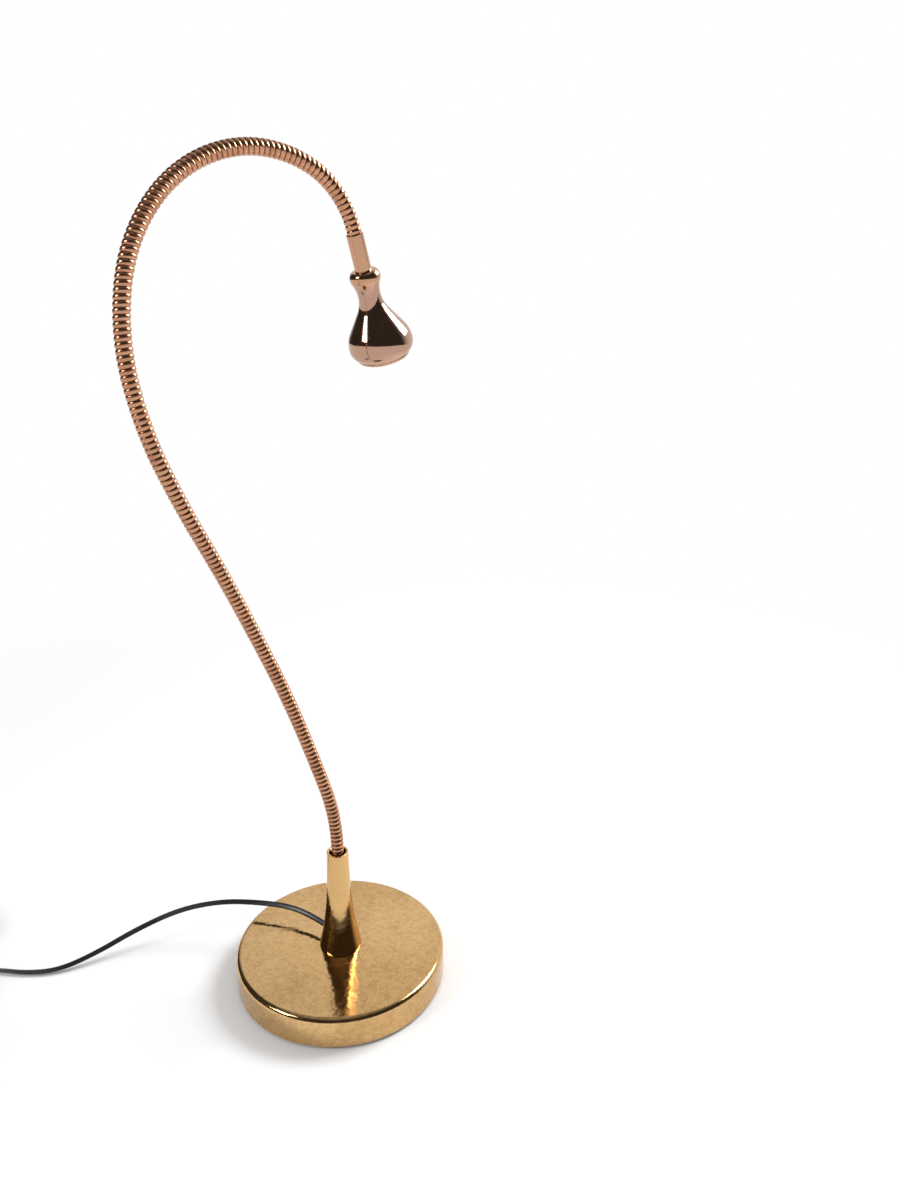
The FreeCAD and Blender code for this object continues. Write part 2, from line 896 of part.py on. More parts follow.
def make_head_lead():
    """The lead's last stretch, from the neck's tip down to the board."""
    path = Part.Wire([
        Part.LineSegment(Vector(0, 0, 1.0), Vector(0, 0, 53.6)).toShape()
    ])
    tube = sweep_circle(path, Vector(0, 0, 1.0), Vector(0, 0, 1), lead_radius.value)
    return solid_node("lead_in_head", tube, head_placement)


keep(make_inner_lead(), make_head_lead())

# From the stem's side the lead rises clear of the base, comes down to the
# table on the left and runs on to its coil.
LEAD_ROUTE = [
    (EXIT.x, EXIT.y, EXIT.z),
    (-17.0, 17.0, EXIT.z),
    (-31.0, 26.5, 26.8),
    (-49.0, 33.0, 28.0),
    (-71.0, 38.0, 27.2),
    (-96.0, 39.0, 22.2),
    (-121.0, 34.5, 14.2),
    (-144.0, 25.0, 6.6),
    (-164.0, 18.2, 2.3),
    (-182.0, 18.6, 1.7),
    (-201.0, 24.0, 1.7),
    (-223.0, 29.0, 1.7),
    (-243.8, 29.0, 1.7),
]
# The coil: its middle, its turns, and how it is wound.
COIL_CENTRE = (-247.0, 54.0)
COIL_TURNS = 11.75
TURNS_PER_LAYER = 3.0
LAYERS = 4
coil_outer = size("coil_outer_radius").value
LYING_HEIGHT = 1.7
QUARTER = 0.25


def coil_at(turn):
    """Centreline of the coil after so many turns, clockwise from its south side.
    It spirals in and out at a steady rate and climbs one layer over the half
    turn in which it reverses."""
    step = size("coil_step").value
    layer, within = divmod(turn, TURNS_PER_LAYER)
    inward = within if layer % 2 == 0 else TURNS_PER_LAYER - within
    radius = coil_outer - step * inward
    nearest = round(turn / TURNS_PER_LAYER)
    from_reversal = turn - nearest * TURNS_PER_LAYER
    if 0 < nearest < LAYERS and abs(from_reversal) < QUARTER:
        level = nearest - 0.5 + 0.5 * math.sin(math.pi / 2 * from_reversal / QUARTER)
    else:
        level = layer
    angle = math.radians(-90.0 - 360.0 * turn)
    return Vector(
        COIL_CENTRE[0] + radius * math.cos(angle),
        COIL_CENTRE[1] + radius * math.sin(angle),
        LYING_HEIGHT + step * level,
    )


def coil_heading(turn):
    """Direction of the coil, level where it starts and ends."""
    around = math.radians(-90.0 - 360.0 * turn)
    if turn in (0.0, COIL_TURNS):
        return Vector(math.sin(around), -math.cos(around), 0)
    nudge = 1e-3
    return (coil_at(turn + nudge) - coil_at(turn - nudge)).normalize()


def biarc(start, heading, end, end_heading):
    """Two arcs that leave start along heading and reach end along end_heading."""
    chord = end - start
    a = 2 * (1 - heading.dot(end_heading))
    b = 2 * chord.dot(heading + end_heading)
    c = -chord.dot(chord)
    reach = (-b + math.sqrt(b * b - 4 * a * c)) / (2 * a) if a > 1e-9 else -c / b
    first_corner, last_corner = start + heading * reach, end - end_heading * reach
    joint = (first_corner + last_corner) * 0.5
    edges = []
    for begin, corner, finish in ((start, first_corner, joint), (joint, last_corner, end)):
        middle = (begin + finish) * 0.5
        half_chord = (finish - begin).Length / 2
        toward = corner - middle
        half_turn = math.atan2(toward.Length, half_chord)
        sag = half_chord * math.tan(half_turn / 2)
        edges.append(Part.Arc(begin, middle + toward.normalize() * sag, finish).toShape())
    return edges


def least_gap(wire, radius, apart):
    """Smallest distance between two stretches of a tube that are that far
    apart along it, measured on points."""
    points = wire.discretize(Distance=1.5)
    skip = int(apart / 1.5)
    least = min(
        points[i].distanceToPoint(points[j])
        for i in range(0, len(points), 2)
        for j in range(i + skip, len(points))
    )
    return least - 2 * radius


def make_coil():
    """The stored length of the lead, wound in four layers."""
    knots = [QUARTER * k for k in range(int(COIL_TURNS / QUARTER) + 1)]
    straight = 2 * lead_radius.value
    first, last = coil_at(knots[0]), coil_at(knots[-1])
    begin = first - coil_heading(0.0) * straight
    end = last + coil_heading(COIL_TURNS) * straight
    edges = [Part.LineSegment(begin, first).toShape()]
    for before, after in zip(knots, knots[1:]):
        edges += biarc(
            coil_at(before), coil_heading(before), coil_at(after), coil_heading(after)
        )
    edges.append(Part.LineSegment(last, end).toShape())
    path = Part.Wire(edges)
    tube = sweep_circle(path, begin, coil_heading(0.0), lead_radius.value)
    gap = least_gap(path, lead_radius.value, 15.0)
    expected = math.pi * lead_radius.value**2 * path.Length
    print(f"lead_coil: length {path.Length:.1f}, least gap to itself {gap:.2f}")
    print(f"lead_coil: starts {begin}, ends {end}, volume {tube.Volume / expected:.5f}")
    return solid_node("lead_coil", tube), path.Length, end


coil, coil_length, coil_end = make_coil()
lead, lead_length = lead_tube("lead", LEAD_ROUTE, lead_radius.value)
GLAND_HEIGHT = 8.0
SWITCH_X = round(coil_end.x, 3)
SWITCH_Y = -20.0
SWITCH_LENGTH = 58.0
RELIEF_LENGTH = 10.0
DRIVER_X, DRIVER_Y = -262.3, -24.0
DRIVER_LENGTH = 40.0
DRIVER_RELIEF = 14.0
switch_in = SWITCH_Y + SWITCH_LENGTH / 2 + RELIEF_LENGTH
switch_out = SWITCH_Y - SWITCH_LENGTH / 2 - RELIEF_LENGTH
driver_in = DRIVER_Y - DRIVER_LENGTH / 2 - DRIVER_RELIEF
to_switch, to_switch_length = lead_tube(
    "lead_to_switch",
    [
        (coil_end.x, coil_end.y, coil_end.z),
        (coil_end.x, 41.0, coil_end.z),
        (coil_end.x, 29.0, GLAND_HEIGHT),
        (coil_end.x, switch_in, GLAND_HEIGHT),
    ],
    lead_radius.value,
)
to_driver, to_driver_length = lead_tube(
    "lead_to_driver",
    [
        (SWITCH_X, switch_out, GLAND_HEIGHT),
        (SWITCH_X, -68.0, GLAND_HEIGHT),
        (-228.0, -77.2, 5.8),
        (-237.2, -82.4, 3.6),
        (-247.8, -82.8, 3.6),
        (-257.2, -77.6, 5.8),
        (DRIVER_X, -68.2, GLAND_HEIGHT),
        (DRIVER_X, driver_in, GLAND_HEIGHT),
    ],
    lead_radius.value,
)
keep(lead, coil, to_switch, to_driver)
print(f"lead, whole: {lead_length + coil_length + to_switch_length + to_driver_length:.0f}")

# ---------------------------------------------------------------- switch
SWITCH_WIDTH = 22.0
SWITCH_TOP = 16.5
CASE_WALL = 1.8
ROCKER_LENGTH, ROCKER_WIDTH = 19.0, 10.0
ROCKER_TILT = 7.0
ROCKER_HEIGHT = 12.6
PIVOT_RADIUS = 1.0
PIVOT_REACH = SWITCH_WIDTH / 2 - CASE_WALL + 0.8
case_placement = Placement(Vector(SWITCH_X, SWITCH_Y, 0), Rotation())


def box_body(label, width, length, height):
    """A centred block, width along X and length along Y, standing on its base."""
    body = new_body(label)
    sketch = new_sketch(body, "XY_Plane", "outline")
    draw_box(sketch, -width / 2, -length / 2, width / 2, length / 2)
    extrude(body, "Pad", sketch, "block", height)
    return body


def is_upright(edge):
    ends = [v.Point for v in edge.Vertexes]
    return len(ends) == 2 and (ends[1] - ends[0]).cross(Vector(0, 0, 1)).Length < 1e-6


def lies_at(height):
    return lambda edge: all(abs(v.Point.z - height) < 1e-6 for v in edge.Vertexes)


def hollow(body, width, length, depth, from_height, upward):
    """Cuts a pocket of that size into the block from a level, up or down."""
    sketch = new_sketch(body, "XY_Plane", "hollow")
    sketch.AttachmentOffset = Placement(Vector(0, 0, from_height), Rotation())
    draw_box(sketch, -width / 2, -length / 2, width / 2, length / 2)
    extrude(body, "Pocket", sketch, "hollow_cut", depth, reverse=upward)


def make_case_half(label, width, length, height, corner, brow, hollow_length, top):
    """Half of a rounded case, hollow towards the joint between the halves."""
    body = box_body(label, width, length, height)
    round_edges(body, "corners", corner, is_upright)
    round_edges(body, "brow", brow, lies_at(height if top else 0.0))
    inner = width - 2 * CASE_WALL
    hollow(body, inner, hollow_length, height - CASE_WALL, 0.0 if top else height, top)
    return body


def make_switch_case():
    """Both halves of the switch, the upper one with its window and pivot holes."""
    floor_length = SWITCH_LENGTH - 16.0
    bottom = make_case_half("switch_case_bottom", SWITCH_WIDTH, SWITCH_LENGTH,
                            GLAND_HEIGHT, 6.0, 2.0, floor_length, False)
    bottom.Placement = case_placement
    height = SWITCH_TOP - GLAND_HEIGHT
    top = make_case_half("switch_case_top", SWITCH_WIDTH, SWITCH_LENGTH,
                         height, 6.0, 2.0, floor_length, True)
    window = new_sketch(top, "XY_Plane", "window")
    draw_box(window, -ROCKER_WIDTH / 2 - 0.4, -ROCKER_LENGTH / 2 - 0.8,
             ROCKER_WIDTH / 2 + 0.4, ROCKER_LENGTH / 2 + 0.8)
    extrude(top, "Pocket", window, "window_cut", height, reverse=True)
    pivot = new_sketch(top, "YZ_Plane", "pivot_holes")
    draw_circle(pivot, 0, ROCKER_HEIGHT - GLAND_HEIGHT, PIVOT_RADIUS + 0.05)
    holes = extrude(top, "Pocket", pivot, "pivot_cut", 2 * PIVOT_REACH)
    holes.Midplane = True
    doc.recompute()
    top.Placement = case_placement.multiply(Placement(Vector(0, 0, GLAND_HEIGHT), Rotation()))
    return bottom, top


def make_rocker():
    """Rocker with a shallow vee on top and its pivot pins, tipped to one side."""
    rocker = new_body("switch_rocker")
    side = new_sketch(rocker, "YZ_Plane", "side")
    half = ROCKER_LENGTH / 2
    draw_outline(
        side,
        [
            (-half, 5.6),
            (-half, 1.2),
            (-half + 3.0, -1.6),
            (half - 3.0, -1.6),
            (half, 1.2),
            (half, 5.6),
            (0, 3.9),
        ],
    )
    block = extrude(rocker, "Pad", side, "block", ROCKER_WIDTH)
    block.Midplane = True
    doc.recompute()
    pins = new_sketch(rocker, "YZ_Plane", "pins")
    draw_circle(pins, 0, 0, PIVOT_RADIUS)
    rod = extrude(rocker, "Pad", pins, "rod", 2 * PIVOT_REACH - 0.2)
    rod.Midplane = True
    doc.recompute()
    tilt = Rotation(Vector(1, 0, 0), -ROCKER_TILT)
    rocker.Placement = Placement(Vector(SWITCH_X, SWITCH_Y, ROCKER_HEIGHT), tilt)
    return rocker


def make_relief(label, face, outward, length, root, tip):
    """Tapered strain relief from a case to the end of a lead."""
    relief = turned(label, [(0, 0), (root, 0), (root, length * 0.25), (tip, length), (0, length)])
    relief.Placement = Placement(face, Rotation(Vector(0, 0, 1), outward))
    return relief


end_y = SWITCH_LENGTH / 2
keep(*make_switch_case())
keep(make_rocker())
keep(make_relief("switch_relief_in", Vector(SWITCH_X, SWITCH_Y + end_y, GLAND_HEIGHT),
                 Vector(0, 1, 0), RELIEF_LENGTH, 3.4, 2.1))
keep(make_relief("switch_relief_out", Vector(SWITCH_X, SWITCH_Y - end_y, GLAND_HEIGHT),
                 Vector(0, -1, 0), RELIEF_LENGTH, 3.4, 2.1))

# ---------------------------------------------------------------- driver
# It lies on its side: the lead leaves its lower end, and its pins point to -X.
DRIVER_WIDTH = 36.0
DRIVER_SPLIT, DRIVER_TOP = 15.0, 30.0
PIN_RADIUS, PIN_LENGTH, PIN_SPACING = 2.0, 19.0, 19.0
PINS_Y = DRIVER_Y + 6.0
driver_placement = Placement(Vector(DRIVER_X, DRIVER_Y, 0), Rotation())


def make_driver_half(label, height, top):
    body = make_case_half(label, DRIVER_WIDTH, DRIVER_LENGTH, height, 5.0, 2.5,
                          DRIVER_LENGTH - 2 * CASE_WALL - 4.0, top)
    lift_by = DRIVER_SPLIT if top else 0.0
    body.Placement = driver_placement.multiply(Placement(Vector(0, 0, lift_by), Rotation()))
    return body


def make_driver_board():
    board = box_body("driver_board", DRIVER_WIDTH - 8.0, DRIVER_LENGTH - 12.0, 1.6)
    board.Placement = driver_placement.multiply(Placement(Vector(0, 0, CASE_WALL), Rotation()))
    return board


def make_pin(label, side):
    """Round mains pin with a domed tip."""
    pin = turned(
        label,
        [
            (0, 0),
            (PIN_RADIUS, 0),
            (PIN_RADIUS, PIN_LENGTH - 1.2, dome(PIN_RADIUS, 1.2), "left"),
            (0, PIN_LENGTH),
        ],
    )
    root = Vector(DRIVER_X - DRIVER_WIDTH / 2, PINS_Y, DRIVER_SPLIT + side * PIN_SPACING / 2)
    pin.Placement = Placement(root, Rotation(Vector(0, 0, 1), Vector(-1, 0, 0)))
    return pin


keep(make_driver_half("driver_case", DRIVER_SPLIT, False))
keep(make_driver_half("driver_cover", DRIVER_TOP - DRIVER_SPLIT, True))
keep(make_driver_board())
keep(make_relief("driver_relief", Vector(DRIVER_X, DRIVER_Y - DRIVER_LENGTH / 2, GLAND_HEIGHT),
                 Vector(0, -1, 0), DRIVER_RELIEF, 3.8, 2.1))
keep(make_pin("plug_pin_1", -1))
keep(make_pin("plug_pin_2", 1))

# ---------------------------------------------------------------- check, write
doc.recompute()
faults = [o.Name for o in doc.Objects if {"Invalid", "Error"} & set(o.State)]
faults += [n.Label for n in nodes if n.Shape.isNull() or not n.Shape.isValid()]
faults += [n.Label for n in nodes if len(n.Shape.Solids) != 1]
if faults:
    raise ValueError(f"not built: {faults}")
for node in nodes:
    node.Shape.exportStep(f"parts/{node.Label}.step")
print(f"{len(nodes)} sub-parts written")
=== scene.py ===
import math
import bmesh
import bpy
from mathutils import Matrix, Vector


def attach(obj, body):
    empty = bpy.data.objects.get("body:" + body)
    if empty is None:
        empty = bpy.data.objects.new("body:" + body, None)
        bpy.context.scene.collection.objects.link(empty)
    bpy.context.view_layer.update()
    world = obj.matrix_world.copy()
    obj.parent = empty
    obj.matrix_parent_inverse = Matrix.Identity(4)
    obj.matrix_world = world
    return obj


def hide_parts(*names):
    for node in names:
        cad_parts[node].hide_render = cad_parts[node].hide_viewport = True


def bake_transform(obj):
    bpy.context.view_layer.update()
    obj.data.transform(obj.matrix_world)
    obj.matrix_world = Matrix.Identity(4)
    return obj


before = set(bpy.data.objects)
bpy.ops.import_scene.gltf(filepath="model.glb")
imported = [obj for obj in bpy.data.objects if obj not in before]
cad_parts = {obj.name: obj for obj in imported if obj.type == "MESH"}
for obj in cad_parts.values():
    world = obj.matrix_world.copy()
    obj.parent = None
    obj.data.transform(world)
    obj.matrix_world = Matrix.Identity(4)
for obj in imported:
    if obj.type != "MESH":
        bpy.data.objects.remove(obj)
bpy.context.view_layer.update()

# ---------------------------------------------------------------- view and studio
# The lamp stands on a pale floor in soft light. The camera is where the photograph
# was taken from: close, a little under the top of the neck, looking down and to
# the right. The studio is white behind the lamp and dim all round the camera.
EYE = (0.0, -0.4363, 0.3826)
EYE_RIGHT = Vector((0.99024, -0.13911, 0.00887))
EYE_UP = Vector((0.03742, 0.32659, 0.94442))
LOOK = Vector((0.13427, 0.93487, -0.32861))

camera = bpy.data.objects.new("camera", bpy.data.cameras.new("camera"))
camera.data.sensor_fit = "VERTICAL"
camera.data.sensor_height = 36.0
camera.data.lens = 27.0
camera.data.clip_start = 0.02
camera.matrix_world = Matrix.Translation(EYE) @ Matrix(
    (EYE_RIGHT, EYE_UP, -LOOK)
).transposed().to_4x4()
bpy.context.collection.objects.link(camera)
bpy.context.scene.camera = camera
bpy.context.scene.view_settings.view_transform = "Standard"


class Field:
    """A socket in a node tree. Arithmetic on it adds Math nodes; node() adds any
    other node: its settings first, then its sockets' values or links."""

    def __init__(self, tree, socket=None):
        self.tree = tree
        self.socket = socket

    def node(self, kind, settings=None, sockets=None, out=0):
        made = self.tree.nodes.new("ShaderNode" + kind)
        for name, value in (settings or {}).items():
            setattr(made, name, value)
        for name, value in (sockets or {}).items():
            if isinstance(value, Field):
                self.tree.links.new(value.socket, made.inputs[name])
            else:
                made.inputs[name].default_value = value
        return Field(self.tree, made.outputs[out])

    def math(self, operation, first, second):
        return self.node("Math", {"operation": operation}, {0: first, 1: second})

    def __add__(self, other):
        return self.math("ADD", self, other)

    def __sub__(self, other):
        return self.math("SUBTRACT", self, other)

    def __rsub__(self, other):
        return self.math("SUBTRACT", other, self)

    def __mul__(self, other):
        return self.math("MULTIPLY", self, other)

    __radd__ = __add__
    __rmul__ = __mul__

    def between(self, low, high):
        """0 below low, 1 above high, smooth between."""
        return self.node(
            "MapRange",
            {"interpolation_type": "SMOOTHSTEP"},
            {"Value": self, "From Min": low, "From Max": high},
        )


def mixed(amount, first, second):
    """Colour between two colours."""
    return amount.node(
        "Mix", {"data_type": "RGBA"}, {0: amount, 6: first, 7: second}, out=2
    )


STUDIO_WHITE = (1.0, 1.0, 1.0, 1.0)
STUDIO_FILL = (0.60, 0.60, 0.60, 1.0)
STUDIO_DIM = (0.050, 0.045, 0.043, 1.0)
BACKDROP_SIDE = (0.50, 0.83, 0.25)
CEILING_GLOW = 0.35

world = bpy.data.worlds.new("studio")
bpy.context.scene.world = world
world.use_nodes = True
world.node_tree.nodes.clear()
sky = Field(world.node_tree)
direction = sky.node("TexCoord", out="Generated")
toward_backdrop = sky.node(
    "VectorMath", {"operation": "DOT_PRODUCT"}, {0: direction, 1: BACKDROP_SIDE}, out="Value"
)
overhead = sky.node("SeparateXYZ", sockets={0: direction}, out="Z")
lit = sky.math(
    "MAXIMUM", toward_backdrop.between(0.30, 0.86), overhead.between(0.80, 1.0) * CEILING_GLOW
)
mirrored_room = mixed(lit, STUDIO_DIM, STUDIO_WHITE)
seen_mirrored = sky.node("LightPath", out="Is Glossy Ray")
seen_straight = sky.math(
    "MAXIMUM",
    sky.node("LightPath", out="Is Camera Ray"),
    sky.node("LightPath", out="Is Transmission Ray"),
)
plain_room = mixed(seen_straight, STUDIO_FILL, STUDIO_WHITE)
backdrop = sky.node(
    "Background", sockets={"Color": mixed(seen_mirrored, plain_room, mirrored_room)}
)
sky_output = world.node_tree.nodes.new("ShaderNodeOutputWorld")
world.node_tree.links.new(backdrop.socket, sky_output.inputs["Surface"])


SOFTBOX_AIM = Vector((0.0, 0.0, 0.2))


def softbox(name, place, size, watts):
    """A square softbox that points at the lower part of the neck."""
    box = bpy.data.objects.new(name, bpy.data.lights.new(name, "AREA"))
    box.data.size = size
    box.data.energy = watts
    box.location = place
    box.rotation_euler = (SOFTBOX_AIM - Vector(place)).to_track_quat("-Z", "Y").to_euler()
    bpy.context.collection.objects.link(box)


softbox("key", (0.95, 0.35, 1.05), size=0.6, watts=17.0)
softbox("side", (-1.1, -0.5, 0.9), size=0.5, watts=6.0)


def new_finish(name):
    """An empty material and the start of its nodes."""
    material = bpy.data.materials.new(name)
    material.use_nodes = True
    material.node_tree.nodes.clear()
    return material, Field(material.node_tree)


def set_surface(material, shader):
    """Makes a shader the material's surface."""
    output = material.node_tree.nodes.new("ShaderNodeOutputMaterial")
    material.node_tree.links.new(shader.socket, output.inputs["Surface"])


# The floor is painted under the lamp, where it takes the shadow, and glows white far from it.
FLOOR_PAINT = (0.86, 0.86, 0.86, 1.0)
PAINTED_TO, GLOWING_FROM = 0.24, 0.80
FLOOR_HALF = 12.0

floor_finish, at = new_finish("studio_floor")
from_lamp = at.node(
    "VectorMath", {"operation": "LENGTH"}, {0: at.node("TexCoord", out="Object")}, out="Value"
)
paint = at.node("BsdfPrincipled", sockets={"Base Color": FLOOR_PAINT, "Roughness": 0.8})
glow = at.node("Emission", sockets={"Color": STUDIO_WHITE, "Strength": 1.0})
away = from_lamp.between(PAINTED_TO, GLOWING_FROM)
set_surface(floor_finish, at.node("MixShader", sockets={0: away, 1: paint, 2: glow}))

floor_mesh = bmesh.new()
bmesh.ops.create_grid(floor_mesh, x_segments=2, y_segments=2, size=FLOOR_HALF)
floor = bpy.data.objects.new("studio_floor", bpy.data.meshes.new("studio_floor"))
floor_mesh.to_mesh(floor.data)
floor_mesh.free()
floor.data.materials.append(floor_finish)
bpy.context.collection.objects.link(floor)


# ---------------------------------------------------------------- lead
# A thin black twin lead for low voltage: two cores side by side in soft glossy
# vinyl, 3.2 mm wide. It leaves the stem's grommet, arches over the base and comes
# down to the table on the left; the rest is coiled, with a switch and a driver on it.
LEAD_WIDTH = 0.0032
LEAD_THICKNESS = 0.0020
GROMMET_EXIT = (-0.0079, 0.0079, 0.0260)
# A point of the route and its roll: 0 lies flat, 1 stands on edge.
LEAD_ROUTE = [
    (GROMMET_EXIT, -0.55),
    ((-0.0170, 0.0170, 0.0270), -0.55),
    ((-0.0310, 0.0265, 0.0276), -0.50),
    ((-0.0490, 0.0330, 0.0270), -0.40),
    ((-0.0710, 0.0380, 0.0262), -0.30),
    ((-0.0960, 0.0390, 0.0222), -0.35),
    ((-0.1210, 0.0345, 0.0142), -0.35),
    ((-0.1440, 0.0250, 0.0066), -0.25),
    ((-0.1640, 0.0182, 0.0023), -0.10),
    ((-0.1820, 0.0186, 0.0017), 0.0),
    ((-0.2010, 0.0240, 0.0017), 0.3),
    ((-0.2230, 0.0290, 0.0017), 0.8),
]
COIL_MIDDLE = (-0.247, 0.054)
COIL_OUTER_RADIUS = 0.025
COIL_STEP = 0.0037
COIL_LAYERS = 4
TURNS_IN_LAYER = 3
COIL_END_TURN = 11.75
POINTS_IN_TURN = 16
# The wire climbs to the next layer over this share of a turn to either side.
CLIMB = 0.25
SWITCH_X = -0.222925
# Out of the coil, through the switch and round into the driver.
LEAD_ONWARD = [
    ((SWITCH_X, 0.0410, 0.0128), 0.9),
    ((SWITCH_X, 0.0290, 0.0080), 0.5),
    ((SWITCH_X, 0.0190, 0.0080), 0.0),
    ((SWITCH_X, -0.0200, 0.0080), 0.0),
    ((SWITCH_X, -0.0590, 0.0080), 0.0),
    ((SWITCH_X, -0.0680, 0.0080), 0.1),
    ((-0.2280, -0.0772, 0.0058), 0.5),
    ((-0.2372, -0.0824, 0.0036), 0.8),
    ((-0.2478, -0.0828, 0.0036), 0.8),
    ((-0.2572, -0.0776, 0.0058), 0.5),
    ((-0.2623, -0.0682, 0.0080), 0.1),
    ((-0.2623, -0.0580, 0.0080), 0.0),
]


def coil_route():
    """The wound length, from its outside in and out again, layer upon layer."""
    route = []
    lowest = LEAD_ROUTE[-1][0][2]
    on_edge = 1.0
    for number in range(int(COIL_END_TURN * POINTS_IN_TURN) + 1):
        turn = number / POINTS_IN_TURN
        layer, within = divmod(turn, TURNS_IN_LAYER)
        inward = within if layer % 2 == 0 else TURNS_IN_LAYER - within
        nearest = round(turn / TURNS_IN_LAYER)
        past = turn - nearest * TURNS_IN_LAYER
        if 0 < nearest < COIL_LAYERS and abs(past) < CLIMB:
            layer = nearest - 0.5 + 0.5 * math.sin(math.pi / 2 * past / CLIMB)
        radius = COIL_OUTER_RADIUS - COIL_STEP * inward
        around = math.radians(-90.0 - 360.0 * turn)
        place = (
            COIL_MIDDLE[0] + radius * math.cos(around),
            COIL_MIDDLE[1] + radius * math.sin(around),
            lowest + COIL_STEP * layer,
        )
        route.append((place, on_edge))
    return route


def route_curve(route, fineness):
    """The route's smooth NURBS spline, on an object of its own."""
    curve = bpy.data.curves.new("lead_route", "CURVE")
    curve.dimensions = "3D"
    curve.twist_mode = "Z_UP"
    spline = curve.splines.new("NURBS")
    spline.points.add(len(route) - 1)
    for control, (place, roll) in zip(spline.points, route):
        control.co = (*place, 1.0)
        control.tilt = roll * math.pi / 2
    spline.order_u = 3
    spline.use_endpoint_u = True
    spline.resolution_u = fineness
    holder = bpy.data.objects.new("lead_route", curve)
    bpy.context.collection.objects.link(holder)
    return holder


SECTION_CORNERS = 16
# The dip between the cores, as shares of half the thickness and of half the width.
DIP_DEPTH, DIP_WIDTH = 0.30, 0.30


def twin_section():
    """Two round cores side by side, as a closed outline."""
    curve = bpy.data.curves.new("lead_section", "CURVE")
    spline = curve.splines.new("POLY")
    spline.points.add(SECTION_CORNERS - 1)
    for number, corner in enumerate(spline.points):
        around = math.tau * (number + 0.5) / SECTION_CORNERS
        across, rise = math.cos(around), math.sin(around)
        waist = 1.0 - DIP_DEPTH * math.exp(-((across / DIP_WIDTH) ** 2))
        corner.co = (across * LEAD_WIDTH / 2, rise * waist * LEAD_THICKNESS / 2, 0.0, 1.0)
    spline.use_cyclic_u = True
    holder = bpy.data.objects.new("lead_section", curve)
    bpy.context.collection.objects.link(holder)
    return holder


def as_mesh(holder):
    """The mesh that a curve makes now."""
    bpy.context.view_layer.update()
    return bpy.data.meshes.new_from_object(
        holder.evaluated_get(bpy.context.evaluated_depsgraph_get())
    )


def twin_lead(name, route, fineness):
    """The lead along a route, and the points of the line that it follows."""
    holder, section = route_curve(route, fineness), twin_section()
    line = as_mesh(holder)
    path = [tuple(vertex.co) for vertex in line.vertices]
    holder.data.bevel_mode = "OBJECT"
    holder.data.bevel_object = section
    holder.data.use_fill_caps = True
    lead = bpy.data.objects.new(name, as_mesh(holder))
    lead.data.name = name
    lead.data.shade_smooth()
    for helper in (holder, section):
        bpy.data.objects.remove(helper)
    bpy.context.collection.objects.link(lead)
    return lead, path


lead_finish, at = new_finish("black_vinyl")
where = at.node("TexCoord", out="Object")
dust = at.node("TexNoise", sockets={"Vector": where, "Scale": 420.0, "Detail": 4.0})
handled = at.node("TexNoise", sockets={"Vector": where, "Scale": 35.0, "Detail": 3.0})
set_surface(lead_finish, at.node("BsdfPrincipled", sockets={
    "Base Color": mixed(
        handled.between(0.45, 0.75), (0.010, 0.0095, 0.010, 1.0), (0.022, 0.021, 0.022, 1.0)
    ),
    "Roughness": handled.between(0.3, 0.7) * 0.16 + 0.24,
    "Normal": at.node("Bump", sockets={"Strength": 0.12, "Distance": 0.0001, "Height": dust}),
}))

lead, lead_path = twin_lead(
    "lead_flex", LEAD_ROUTE + coil_route() + LEAD_ONWARD, fineness=5
)
lead.data.materials.append(lead_finish)
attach(lead, "base")
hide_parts("lead", "lead_coil", "lead_to_switch", "lead_to_driver")


# ---------------------------------------------------------------- foot
# The lamp stands on a disc of black foam rubber, glued under a pressed steel plate
# that three screws hold to the iron weight inside the base. One bolt from below
# holds the stem.
def dress(material, *nodes):
    """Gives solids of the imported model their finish."""
    for name in nodes:
        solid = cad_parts[name].data
        solid.materials.clear()
        solid.materials.append(material)


rubber, at = new_finish("foam_rubber")
where = at.node("TexCoord", out="Object")
pores = at.node("TexVoronoi", {"feature": "F1"}, {"Vector": where, "Scale": 1400.0})
lint = at.node("TexNoise", sockets={"Vector": where, "Scale": 90.0, "Detail": 5.0}).between(0.55, 0.8)
set_surface(rubber, at.node("BsdfPrincipled", sockets={
    "Base Color": mixed(lint, (0.018, 0.018, 0.019, 1.0), (0.045, 0.043, 0.041, 1.0)),
    "Roughness": 0.92 - pores * 0.12,
    "Normal": at.node("Bump", sockets={"Strength": 0.5, "Distance": 0.0002, "Height": pores}),
}))


def grained(name, grain_size, colours, roughness, bump, plain=None):
    """A finish with one fine grain, which leads from the first to the second of its
    colours and roughnesses and stands up as a bump of a strength and a height."""
    material, at = new_finish(name)
    scale, detail = grain_size
    strength, height = bump
    grain = at.node("TexNoise", sockets={
        "Vector": at.node("TexCoord", out="Object"), "Scale": scale, "Detail": detail,
    })
    set_surface(material, at.node("BsdfPrincipled", sockets={
        "Base Color": mixed(grain, *colours),
        "Roughness": grain * (roughness[1] - roughness[0]) + roughness[0],
        "Normal": at.node("Bump", sockets={"Strength": strength, "Distance": height, "Height": grain}),
        **(plain or {}),
    }))
    return material


cast_iron = grained(
    "cast_iron", (700.0, 6.0), ((0.06, 0.058, 0.058, 1.0), (0.16, 0.15, 0.145, 1.0)),
    roughness=(0.75, 0.55), bump=(0.6, 0.0003), plain={"Metallic": 0.8},
)

